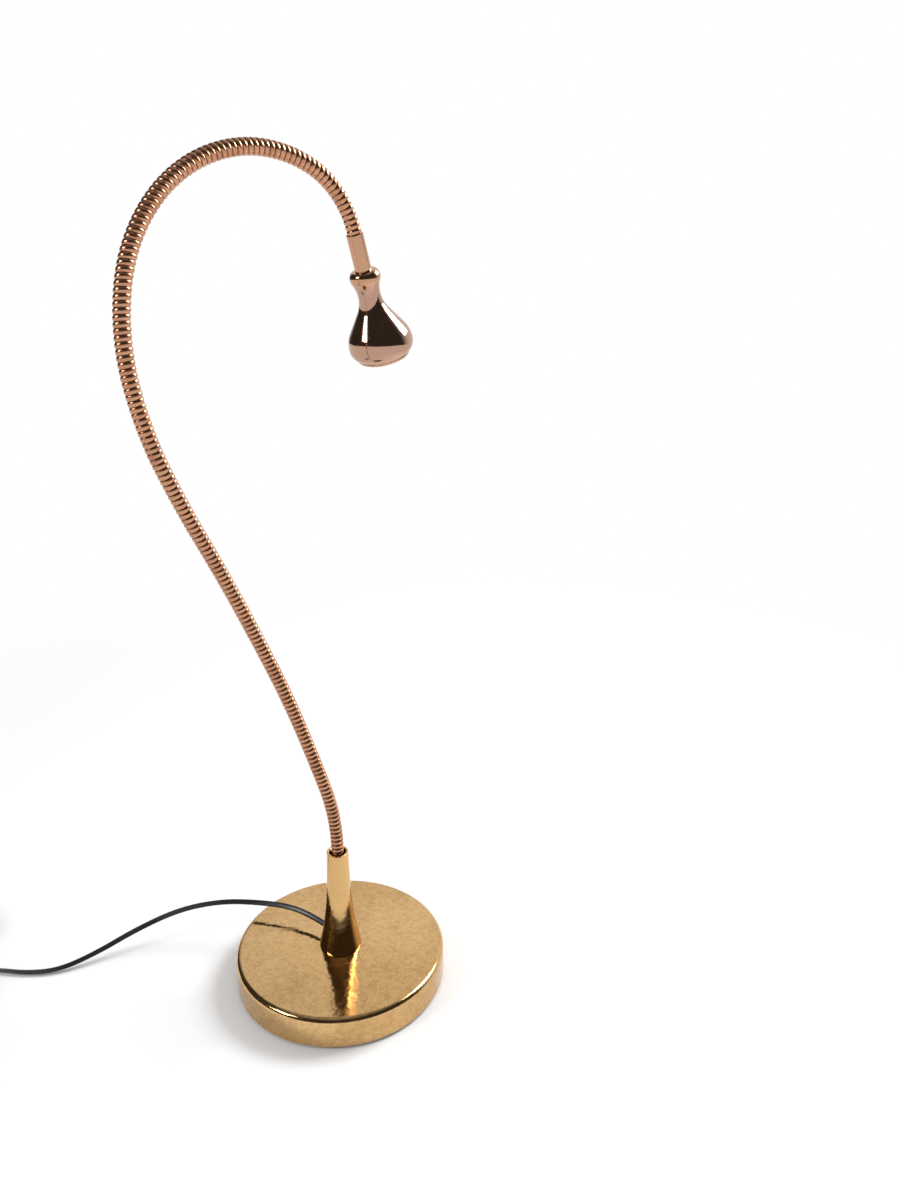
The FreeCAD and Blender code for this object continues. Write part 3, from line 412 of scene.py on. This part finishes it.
zinc, at = new_finish("zinc_plated_steel")
where = at.node("TexCoord", out="Object")
bloom = at.node("TexNoise", sockets={"Vector": where, "Scale": 130.0, "Detail": 5.0})
drawn = at.node("TexNoise", sockets={
    "Vector": at.node("Mapping", sockets={"Vector": where, "Scale": (60.0, 900.0, 900.0)}),
    "Scale": 1.0, "Detail": 3.0,
})
set_surface(zinc, at.node("BsdfPrincipled", sockets={
    "Base Color": mixed(bloom.between(0.35, 0.7), (0.55, 0.56, 0.58, 1.0), (0.70, 0.70, 0.69, 1.0)),
    "Metallic": 1.0,
    "Roughness": drawn * 0.18 + 0.24,
    "Normal": at.node("Bump", sockets={"Strength": 0.15, "Distance": 0.00005, "Height": drawn}),
}))
dress(rubber, "foot_pad")
dress(cast_iron, "base_weight")
dress(zinc, "base_plate", "plate_screw_1", "plate_screw_2", "plate_screw_3", "stem_bolt", "stem_washer")


# ---------------------------------------------------------------- base cover
# A round cover 120 mm across, spun from sheet and plated to a mirror in warm bronze,
# with a small round along its top edge. Up close the plating waves a little, and
# it carries fingerprints and a few hairlines.
class Turning:
    """The half section of a turned piece: straight runs and arcs, then a full spin."""

    def __init__(self, radius, height):
        self.shape = bmesh.new()
        self.end = self.shape.verts.new((radius, 0.0, height))

    def to(self, *places):
        for radius, height in places:
            self.end = bmesh.ops.extrude_vert_indiv(self.shape, verts=[self.end])["verts"][0]
            self.end.co = (radius, 0.0, height)
        return self

    def arc(self, place, bend, steps):
        """An arc of radius |bend| to a place; it bulges outwards where bend is positive."""
        start, finish = Vector((self.end.co.x, self.end.co.z)), Vector(place)
        chord = finish - start
        across = Vector((-chord.y, chord.x)).normalized()
        middle = start + chord / 2
        centre = middle + across * math.copysign(
            math.sqrt(max(bend * bend - chord.length_squared / 4, 0.0)), bend
        )
        angle = 2 * math.asin(min(1.0, chord.length / 2 / abs(bend))) * math.copysign(1.0, bend)
        made = bmesh.ops.spin(
            self.shape, geom=[self.end], cent=(centre.x, 0.0, centre.y), axis=(0.0, -1.0, 0.0),
            dvec=(0.0, 0.0, 0.0), angle=angle, steps=steps, use_merge=False,
        )
        self.end = next(part for part in made["geom_last"] if isinstance(part, bmesh.types.BMVert))
        self.end.co = (place[0], 0.0, place[1])
        return self

    def close(self):
        """Joins the section's end to its start."""
        self.shape.verts.ensure_lookup_table()
        self.shape.edges.new((self.end, self.shape.verts[0]))
        return self

    def spun(self, steps):
        """The piece, turned all the way round."""
        bmesh.ops.spin(
            self.shape, geom=self.shape.verts[:] + self.shape.edges[:], cent=(0.0, 0.0, 0.0),
            axis=(0.0, 0.0, 1.0), dvec=(0.0, 0.0, 0.0), angle=math.tau, steps=steps, use_merge=True,
        )
        bmesh.ops.remove_doubles(self.shape, verts=self.shape.verts[:], dist=2e-6)
        bmesh.ops.recalc_face_normals(self.shape, faces=self.shape.faces[:])
        return self.shape


def piece_from(shape, name, material, place=None, sharp=32.0):
    """A finished piece from a bmesh: placed, smooth, with edges sharper than an angle kept."""
    piece = bpy.data.objects.new(name, bpy.data.meshes.new(name))
    shape.to_mesh(piece.data)
    shape.free()
    if place is not None:
        piece.data.transform(place)
    piece.data.shade_smooth()
    piece.data.set_sharp_from_angle(angle=math.radians(sharp))
    piece.data.materials.append(material)
    bpy.context.collection.objects.link(piece)
    return piece


def plating(name, colour, deep, roughness, wave, smudges=1.0, spun=0.0, painted_reflection_share=0.0):
    """Mirror plating: finger marks dull it in patches, hairlines cross it, and it waves by
    a height, in rings where it was spun. A painted reflection mottles its colour with its deep colour."""
    material, at = new_finish(name)
    where = at.node("TexCoord", out="Object")
    marks = at.node("TexNoise", sockets={
        "Vector": where, "Scale": 60.0, "Detail": 6.0, "Roughness": 0.62, "Distortion": 0.6,
    }).between(0.50, 0.72)
    film = at.node("TexNoise", sockets={"Vector": where, "Scale": 14.0, "Detail": 2.0}).between(0.35, 0.7)
    specks = at.node("TexVoronoi", {"feature": "F1"}, {"Vector": where, "Scale": 260.0})
    pits = 1.0 - specks.between(0.02, 0.10)
    hairs = at.node("TexNoise", sockets={
        "Vector": at.node("Mapping", sockets={
            "Vector": where, "Rotation": (0.0, 0.0, 0.7), "Scale": (25.0, 1500.0, 700.0),
        }),
        "Scale": 1.0, "Detail": 2.0, "Distortion": 0.3,
    }).between(0.66, 0.74)
    swell = at.node("TexNoise", sockets={"Vector": where, "Scale": 240.0, "Detail": 2.0})
    rings = at.node(
        "TexWave", {"wave_type": "RINGS", "rings_direction": "Z"},
        {"Vector": where, "Scale": 46.0, "Distortion": 1.6, "Detail": 1.0}, out=1,
    )
    bumps = at.node("Bump", sockets={
        "Strength": 1.0, "Distance": wave, "Height": swell + rings * spun + hairs * 0.05 - pits * 0.10,
    })
    # Painted reflection: small patches lean to the deep colour, like an uneven room mirrored in the
    # plating's waves.
    painted_reflection = at.node("TexNoise", sockets={
        "Vector": where, "Scale": 380.0, "Detail": 3.0, "Distortion": 1.2,
    }).between(0.40, 0.66)
    set_surface(material, at.node("BsdfPrincipled", sockets={
        "Base Color": mixed(film * 0.5 + marks * 0.25 * smudges + painted_reflection * painted_reflection_share, colour, deep),
        "Metallic": 1.0,
        "Roughness": marks * 0.16 * smudges + film * 0.03 + hairs * 0.10 + roughness,
        "Normal": bumps,
    }))
    return material


# The bronze's colour is mottled darker in small patches: a painted reflection.
bronze = plating(
    "bronze_plating", (0.70, 0.45, 0.21, 1.0), (0.50, 0.30, 0.12, 1.0),
    roughness=0.09, wave=0.00011, spun=0.15, painted_reflection_share=0.55,
)

COVER_RADIUS, COVER_TOP, COVER_FOOT = 0.0600, 0.0195, 0.0020
COVER_ROUND, COVER_WALL, COVER_HOLE = 0.0030, 0.0012, 0.0020
# A ring of the flat top that the stem hides.
UNDER_STEM = 0.0090

cover = Turning(COVER_RADIUS - COVER_WALL, COVER_FOOT)
cover.to((COVER_RADIUS, COVER_FOOT), (COVER_RADIUS, COVER_TOP - COVER_ROUND))
cover.arc((COVER_RADIUS - COVER_ROUND, COVER_TOP), COVER_ROUND, 10)
cover.to((UNDER_STEM, COVER_TOP), (COVER_HOLE, COVER_TOP), (COVER_HOLE, COVER_TOP - COVER_WALL))
cover.to((COVER_RADIUS - COVER_ROUND, COVER_TOP - COVER_WALL))
cover.arc((COVER_RADIUS - COVER_WALL, COVER_TOP - COVER_ROUND), COVER_WALL - COVER_ROUND, 6).close()
cover = piece_from(cover.spun(160), "base_shell", bronze)
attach(cover, "base")
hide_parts("base_cover")


# ---------------------------------------------------------------- stem
# A turned stem, flared to a small foot where it stands on the cover and straight
# towards its lip. The neck goes down its bore, and the lead comes out of a soft
# dark grommet in its flare.
STEM_BORE, STEM_FOOT, FOOT_EDGE = 0.0054, 0.0121, 0.0008
STEM_WAIST, STEM_WAIST_AT, STEM_SWEEP = 0.0069, 0.0575, 0.200
STEM_LIP, STEM_TOP, LIP_ROUND = 0.0061, 0.0820, 0.0002
LIP_BORE, LIP_DEPTH, LIP_CHAMFER = 0.0047, 0.0013, 0.0003

smooth_bronze = plating(
    "smooth_bronze_plating", (0.66, 0.42, 0.18, 1.0), (0.53, 0.32, 0.13, 1.0),
    roughness=0.08, wave=0.00003, smudges=0.7,
)
stem = Turning(STEM_BORE, COVER_TOP).to((STEM_FOOT, COVER_TOP), (STEM_FOOT, COVER_TOP + FOOT_EDGE))
stem.arc((STEM_WAIST, STEM_WAIST_AT), -STEM_SWEEP, 40)
stem.to((STEM_LIP, STEM_TOP - LIP_ROUND)).arc((STEM_LIP - LIP_ROUND, STEM_TOP), LIP_ROUND, 4)
stem.to((LIP_BORE + LIP_CHAMFER, STEM_TOP), (LIP_BORE, STEM_TOP - LIP_CHAMFER))
stem.to((LIP_BORE, STEM_TOP - LIP_DEPTH), (STEM_BORE, STEM_TOP - LIP_DEPTH)).close()
stem = piece_from(stem.spun(112), "stem_turned", smooth_bronze)
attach(stem, "base")
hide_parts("stem")

grommet_rubber = grained(
    "grommet_rubber", (1200.0, 3.0), ((0.016, 0.015, 0.015, 1.0), (0.030, 0.028, 0.027, 1.0)),
    roughness=(0.45, 0.65), bump=(0.2, 0.00005),
)
dress(grommet_rubber, "lead_grommet")
dress(lead_finish, "lead_in_stem")


# ---------------------------------------------------------------- neck
# A flexible metal tube, 7.2 mm thick: a round wire and a three-sided one wound
# tightly together, so that it shows close round ribs with grooves between them, which
# are dark with painted shade. It is copper plated and holds the shape that it is bent to.
LINKS = 12
LINK_LENGTH = 0.0392
RIBS_IN_LINK = 15
RIB_PITCH = LINK_LENGTH / RIBS_IN_LINK
RIB_SIDES = 26
CREST, GROOVE = 0.00362, 0.00312
# One rib: a share of the pitch, and the share of the way from groove to crest there.
RIB_OUTLINE = ((0.10, 0.40), (0.27, 0.88), (0.5, 1.0), (0.73, 0.88), (0.90, 0.40), (1.0, 0.0))
# The tube's ends, past its first hinge down the stem and past its last up the ferrule.
ROOT_DEPTH, TIP_DEPTH = 0.0205, 0.0175
NECK_START = Vector((0.0, 0.0, 0.0848))
# The side that the neck leans to, and each arc's bend in degrees, towards it and across.
NECK_LEAN = math.radians(214.0)
NECK_BEND = [14, 2, 5, 3, 3, -3, -13, -22, -31, -33, -36, -48]
NECK_SIDE = [-8, 0, 3, 5, 2, 2, -1, -1, 1, 3, 2, -4]
NECK_CHAIN = ["base"] + [f"link_{number:02d}" for number in range(1, LINKS + 1)] + ["head"]


def on_arc(arc, share):
    """The point and the turned axes at a share of one of the neck's arcs."""
    place, axes, pivot, angle = arc
    along = axes.col[2]
    radius = LINK_LENGTH / angle
    turned = angle * share
    inward = pivot.cross(along)
    point = place + along * radius * math.sin(turned) + inward * radius * (1.0 - math.cos(turned))
    return point, Matrix.Rotation(turned, 3, pivot) @ axes


neck_arcs = []
place = NECK_START
lean = Vector((math.cos(NECK_LEAN), math.sin(NECK_LEAN), 0.0))
up = Vector((0.0, 0.0, 1.0))
axes = Matrix((lean, up.cross(lean), up)).transposed()
for bend, side in zip(NECK_BEND, NECK_SIDE):
    pivot = (axes.col[1] * bend - axes.col[0] * side).normalized()
    neck_arcs.append((place, axes, pivot, math.radians(math.hypot(bend, side))))
    place, axes = on_arc(neck_arcs[-1], 1.0)
NECK_END, HEAD_AXES = place, axes


def neck_at(distance):
    """The neck's centreline at a distance from its first hinge: point and axes."""
    if distance <= 0.0:
        return NECK_START + Vector((0.0, 0.0, distance)), neck_arcs[0][1]
    number = int(distance / LINK_LENGTH)
    if number >= len(neck_arcs):
        beyond = distance - LINK_LENGTH * len(neck_arcs)
        return NECK_END + HEAD_AXES.col[2] * beyond, HEAD_AXES
    return on_arc(neck_arcs[number], distance / LINK_LENGTH - number)


def ribbed_tube(begin, finish):
    """A straight length of the wound tube along Z, cut square and capped."""
    shape = bmesh.new()
    first_turn = math.floor(begin / RIB_PITCH) - 1
    turns = math.ceil(finish / RIB_PITCH) + 1 - first_turn
    start = first_turn * RIB_PITCH
    rib = [shape.verts.new((GROOVE, 0.0, start))]
    for share, rise in RIB_OUTLINE:
        rib.append(shape.verts.new((GROOVE + (CREST - GROOVE) * rise, 0.0, start + RIB_PITCH * share)))
        shape.edges.new(rib[-2:])
    bmesh.ops.spin(
        shape, geom=shape.verts[:] + shape.edges[:], cent=(0.0, 0.0, 0.0), axis=(0.0, 0.0, 1.0),
        dvec=(0.0, 0.0, RIB_PITCH / RIB_SIDES), angle=math.tau * turns, steps=RIB_SIDES * turns,
        use_merge=False,
    )
    bmesh.ops.remove_doubles(shape, verts=shape.verts[:], dist=2e-5)
    for height, outward in ((begin, -1.0), (finish, 1.0)):
        cut = bmesh.ops.bisect_plane(
            shape, geom=shape.verts[:] + shape.edges[:] + shape.faces[:],
            plane_co=(0.0, 0.0, height), plane_no=(0.0, 0.0, outward), clear_outer=True,
        )["geom_cut"]
        bmesh.ops.edgeloop_fill(
            shape, edges=[part for part in cut if isinstance(part, bmesh.types.BMEdge)]
        )
    bmesh.ops.recalc_face_normals(shape, faces=shape.faces[:])
    return shape


copper_ribs, at = new_finish("copper_ribs")
crest = at.node("Attribute", {"attribute_name": "crest", "attribute_type": "GEOMETRY"}, out="Fac")
where = at.node("TexCoord", out="Object")
worn = at.node("TexNoise", sockets={"Vector": where, "Scale": 110.0, "Detail": 4.0}).between(0.4, 0.7)
grit_and_shade_edge = at.node("TexNoise", sockets={"Vector": where, "Scale": 900.0, "Detail": 3.0})
# Painted shade: the grooves between the ribs are coloured dark, and fine grit noise frays the edge of
# that shade.
clear_of_groove_shade = (crest + (grit_and_shade_edge - 0.5) * 0.25).between(0.02, 0.55)
set_surface(copper_ribs, at.node("BsdfPrincipled", sockets={
    # The dark red-brown is painted shade in the grooves; the two copper tones on the crests are wear.
    "Base Color": mixed(
        clear_of_groove_shade, (0.13, 0.042, 0.024, 1.0),
        mixed(worn, (0.56, 0.29, 0.17, 1.0), (0.45, 0.215, 0.125, 1.0)),
    ),
    "Metallic": 1.0,
    "Roughness": 0.42 - clear_of_groove_shade * 0.19 + worn * 0.06,
    "Normal": at.node("Bump", sockets={"Strength": 0.25, "Distance": 0.00004, "Height": grit_and_shade_edge}),
}))

# A distance to either side of each hinge; the neck's points there are worked out but not used.
BLEND_REACH = 0.013
for number, (lower, upper) in enumerate(zip(NECK_CHAIN, NECK_CHAIN[1:])):
    hinge = number * LINK_LENGTH
    begin = hinge - LINK_LENGTH / 2 if number else -ROOT_DEPTH
    finish = hinge + LINK_LENGTH / 2 if number < LINKS else hinge + TIP_DEPTH
    shape = ribbed_tube(begin, finish)
    heights = shape.verts.layers.float.new("crest")
    for corner in shape.verts:
        radius = math.hypot(corner.co.x, corner.co.y)
        corner[heights] = (radius - GROOVE) / (CREST - GROOVE)
        point, axes = neck_at(corner.co.z)
        corner.co = point + axes.col[0] * corner.co.x + axes.col[1] * corner.co.y
    length = piece_from(shape, f"neck_length_{number:02d}", copper_ribs, sharp=60.0)
    neck_at(hinge - BLEND_REACH)[0]
    neck_at(hinge + BLEND_REACH)[0]
    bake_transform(length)
    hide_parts("neck_root" if number == 0 else f"neck_link_{number:02d}")
    if number == LINKS:
        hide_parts("neck_tip")
dress(smooth_bronze, "neck_bush")


# ---------------------------------------------------------------- ferrule and collar
# The neck ends in a smooth tube, crimped on it, which a rolled collar joins to the
# head. Both are plated like the base, a little more coppery.
# Heights from here to the lens run along the head, from the neck's last hinge to the mouth.
HEAD_PLACE = Matrix.Translation(NECK_END) @ HEAD_AXES.to_4x4()
FERRULE_RADIUS, FERRULE_BORE, FERRULE_CHAMFER = 0.0041, 0.00315, 0.0003
FERRULE_FROM, FERRULE_TO = 0.00065, 0.0190
COLLAR_BORE, COLLAR_EDGE = 0.00412, 0.0053
COLLAR_FROM, COLLAR_TO = 0.0180, 0.0240
ROLL_START, ROLL_END = (0.0069, 0.0190), (0.0072, 0.0236)
EDGE_BEND, ROLL_BEND = 0.0024, 0.0045
THROAT_RADIUS = 0.0070

copper = plating(
    "copper_plating", (0.56, 0.32, 0.20, 1.0), (0.42, 0.23, 0.14, 1.0),
    roughness=0.08, wave=0.00004, smudges=0.6,
)
ferrule = Turning(FERRULE_BORE, FERRULE_FROM).to((FERRULE_RADIUS - FERRULE_CHAMFER, FERRULE_FROM))
ferrule.to((FERRULE_RADIUS, FERRULE_FROM + FERRULE_CHAMFER), (FERRULE_RADIUS, FERRULE_TO))
ferrule.to((FERRULE_BORE, FERRULE_TO)).close()
ferrule = piece_from(ferrule.spun(72), "ferrule_tube", copper, HEAD_PLACE)
collar = Turning(COLLAR_BORE, COLLAR_FROM).to((COLLAR_EDGE, COLLAR_FROM))
collar.arc(ROLL_START, EDGE_BEND, 5).arc(ROLL_END, ROLL_BEND, 14)
collar.to((THROAT_RADIUS, COLLAR_TO), (COLLAR_BORE, COLLAR_TO)).close()
collar = piece_from(collar.spun(88), "rolled_collar", copper, HEAD_PLACE)
for piece, node in ((ferrule, "neck_ferrule"), (collar, "head_collar")):
    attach(piece, "head")
    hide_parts(node)


# ---------------------------------------------------------------- head
# A drop-shaped shell, 33 mm across, spun thin and plated to a mirror. Its throat
# is drawn in under the collar, and its mouth turns in round the lens.
SHELL_WALL = 0.0012
SHELL_WAIST, SHELL_WAIST_AT = 0.00565, 0.0300
FLARE, SHOULDER = (0.0082, 0.0385), (0.0143, 0.0478)
FLARE_INSIDE, SHOULDER_INSIDE = (0.0070, 0.0391), (0.0131, 0.0482)
BELL_RADIUS, BELL_AT = 0.0166, 0.0555
MOUTH_RADIUS, MOUTH_AT, MOUTH_SLOPE = 0.0134, 0.0610, 0.0003
THROAT_BEND, FLARE_BEND, SHOULDER_BEND, MOUTH_BEND = 0.0140, 0.0154, 0.0142, 0.0064

# Painted shade: the shell's plating is a darker copy of the copper, for the dim room that the head
# mirrors.
shaded_copper = plating(
    "shaded_copper_plating", (0.48, 0.29, 0.21, 1.0), (0.37, 0.215, 0.15, 1.0),
    roughness=0.07, wave=0.00004, smudges=0.6,
)
shell = Turning(THROAT_RADIUS - SHELL_WALL, COLLAR_TO).to((THROAT_RADIUS, COLLAR_TO))
shell.arc((SHELL_WAIST, SHELL_WAIST_AT), -THROAT_BEND, 14).arc(FLARE, -FLARE_BEND, 18).to(SHOULDER)
shell.arc((BELL_RADIUS, BELL_AT), SHOULDER_BEND, 18).arc((MOUTH_RADIUS, MOUTH_AT), MOUTH_BEND, 18)
shell.to((MOUTH_RADIUS - SHELL_WALL, MOUTH_AT - MOUTH_SLOPE))
shell.arc((BELL_RADIUS - SHELL_WALL, BELL_AT), -MOUTH_BEND, 12)
shell.arc(SHOULDER_INSIDE, SHELL_WALL - SHOULDER_BEND, 14).to(FLARE_INSIDE)
shell.arc((SHELL_WAIST - SHELL_WALL, SHELL_WAIST_AT), FLARE_BEND + SHELL_WALL, 12)
shell.arc((THROAT_RADIUS - SHELL_WALL, COLLAR_TO), THROAT_BEND + SHELL_WALL, 8).close()
shell = piece_from(shell.spun(128), "drop_shell", shaded_copper, HEAD_PLACE)
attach(shell, "head")
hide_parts("head_shell")

RING_RADIUS, RING_BORE, RING_SPIGOT = 0.0135, 0.0110, 0.0121
RING_BACK, RING_CHAMFER, RING_LIP_AT = 0.0608, 0.0003, 0.0620
RING_CROWN, RING_FRONT, RING_ROUND = (0.0130, 0.0622), (0.0122, 0.0625), 0.0009

ring_seat = RING_BACK + RING_CHAMFER
ring = Turning(RING_BORE, RING_BACK).to((RING_SPIGOT, RING_BACK))
ring.to((RING_SPIGOT + RING_CHAMFER, ring_seat), (RING_RADIUS, ring_seat))
ring.arc(RING_CROWN, RING_ROUND, 5).arc(RING_FRONT, RING_ROUND, 4).to((RING_BORE, RING_LIP_AT)).close()
ring = piece_from(ring.spun(112), "lens_bezel", copper, HEAD_PLACE)
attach(ring, "head")
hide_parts("lens_ring")


# ---------------------------------------------------------------- light
# Behind a frosted lens, one warm LED sits on a white board that two screws hold to
# a turned aluminium heat sink.
LENS_RADIUS = 0.0120
LENS_BACK, LENS_FRONT = 0.0588, 0.0607
DOME_RADIUS, DOME_TOP, DOME_BEND = 0.0109, 0.0624, 0.0358

frosted = grained(
    "frosted_lens", (2600.0, 3.0), ((0.96, 0.95, 0.91, 1.0), (0.99, 0.98, 0.96, 1.0)),
    roughness=(0.22, 0.42), bump=(0.3, 0.00003), plain={
        "Transmission Weight": 0.75,
        "Emission Color": (1.0, 0.93, 0.78, 1.0),
        "Emission Strength": 0.5,
    },
)
lens = Turning(0.0, LENS_BACK)
lens.to((LENS_RADIUS, LENS_BACK), (LENS_RADIUS, LENS_FRONT), (DOME_RADIUS, LENS_FRONT))
lens.arc((0.0, DOME_TOP), DOME_BEND, 14).close()
lens = piece_from(lens.spun(96), "frosted_lens", frosted, HEAD_PLACE)
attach(lens, "head")
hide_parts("lens")

aluminium = grained(
    "turned_aluminium", (800.0, 4.0), ((0.70, 0.70, 0.72, 1.0), (0.82, 0.82, 0.83, 1.0)),
    roughness=(0.28, 0.43), bump=(0.2, 0.00005), plain={"Metallic": 1.0},
)
white_board = grained(
    "white_board", (1500.0, 2.0), ((0.86, 0.86, 0.83, 1.0), (0.93, 0.93, 0.91, 1.0)),
    roughness=(0.35, 0.45), bump=(0.2, 0.00003),
)
phosphor, at = new_finish("phosphor")
where = at.node("TexCoord", out="Object")
grains = at.node("TexVoronoi", {"feature": "F1"}, {"Vector": where, "Scale": 4000.0})
set_surface(phosphor, at.node("BsdfPrincipled", sockets={
    "Base Color": mixed(grains, (0.95, 0.80, 0.30, 1.0), (0.98, 0.88, 0.48, 1.0)),
    "Roughness": grains * 0.2 + 0.5,
    "Emission Color": (1.0, 0.90, 0.70, 1.0),
    "Emission Strength": 1.5,
}))
dress(aluminium, "heat_sink")
dress(white_board, "led_board")
dress(phosphor, "led_emitter")
dress(zinc, "board_screw_1", "board_screw_2")
dress(lead_finish, "lead_in_head")


# ---------------------------------------------------------------- switch and driver
# A hand switch and a plug-in driver hang on the lead, both moulded in fine satin
# black in two halves, with soft reliefs where the lead goes in. The driver's two
# round pins are nickel plated.
def softened(node, name, material, width=0.00025):
    """A merged copy of a solid with its edges rounded over."""
    shape = bmesh.new()
    shape.from_mesh(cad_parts[node].data)
    bmesh.ops.remove_doubles(shape, verts=shape.verts[:], dist=2e-6)
    bmesh.ops.dissolve_limit(
        shape, angle_limit=math.radians(0.5), verts=shape.verts[:], edges=shape.edges[:],
        use_dissolve_boundaries=False, delimit={"NORMAL"},
    )
    piece = piece_from(shape, name, material)
    rounding = piece.modifiers.new("edges", "BEVEL")
    rounding.width = width
    rounding.segments = 2
    rounding.limit_method = "ANGLE"
    rounding.angle_limit = math.radians(50.0)
    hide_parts(node)
    return piece


satin_black, at = new_finish("satin_black")
where = at.node("TexCoord", out="Object")
spark = at.node("TexNoise", sockets={"Vector": where, "Scale": 2400.0, "Detail": 3.0})
touched = at.node("TexNoise", sockets={"Vector": where, "Scale": 60.0, "Detail": 4.0}).between(0.5, 0.7)
set_surface(satin_black, at.node("BsdfPrincipled", sockets={
    "Base Color": mixed(touched, (0.020, 0.019, 0.019, 1.0), (0.030, 0.029, 0.028, 1.0)),
    "Roughness": 0.52 - touched * 0.12,
    "Normal": at.node("Bump", sockets={"Strength": 0.35, "Distance": 0.00005, "Height": spark}),
}))
rocker_black, at = new_finish("rocker_black")
where = at.node("TexCoord", out="Object")
rubbed = at.node("TexNoise", sockets={"Vector": where, "Scale": 220.0, "Detail": 4.0}).between(0.4, 0.7)
set_surface(rocker_black, at.node("BsdfPrincipled", sockets={
    "Base Color": mixed(rubbed, (0.030, 0.029, 0.029, 1.0), (0.045, 0.043, 0.042, 1.0)),
    "Roughness": rubbed * 0.12 + 0.20,
    "Normal": at.node("Bump", sockets={"Strength": 0.15, "Distance": 0.00004, "Height": rubbed}),
}))
mouldings = {}
for node in ("switch_case_bottom", "switch_case_top", "switch_relief_in", "switch_relief_out",
             "driver_case", "driver_cover", "driver_relief"):
    mouldings[node] = softened(node, node + "_moulding", satin_black)
    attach(mouldings[node], "base")
rocker = softened("switch_rocker", "rocker_key", rocker_black, width=0.0004)
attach(rocker, "rocker")

nickel, at = new_finish("nickel_plating")
where = at.node("TexCoord", out="Object")
rubs = at.node("TexNoise", sockets={
    "Vector": at.node("Mapping", sockets={"Vector": where, "Scale": (80.0, 1600.0, 1600.0)}),
    "Scale": 1.0, "Detail": 3.0,
})
set_surface(nickel, at.node("BsdfPrincipled", sockets={
    "Base Color": mixed(rubs, (0.72, 0.70, 0.66, 1.0), (0.80, 0.79, 0.76, 1.0)),
    "Metallic": 1.0,
    "Roughness": rubs * 0.15 + 0.15,
    "Normal": at.node("Bump", sockets={"Strength": 0.15, "Distance": 0.00004, "Height": rubs}),
}))
dress(nickel, "plug_pin_1", "plug_pin_2")

green_board = grained(
    "green_board", (900.0, 2.0), ((0.03, 0.20, 0.09, 1.0), (0.05, 0.27, 0.13, 1.0)),
    roughness=(0.3, 0.4), bump=(0.2, 0.00003),
)
dress(green_board, "driver_board")
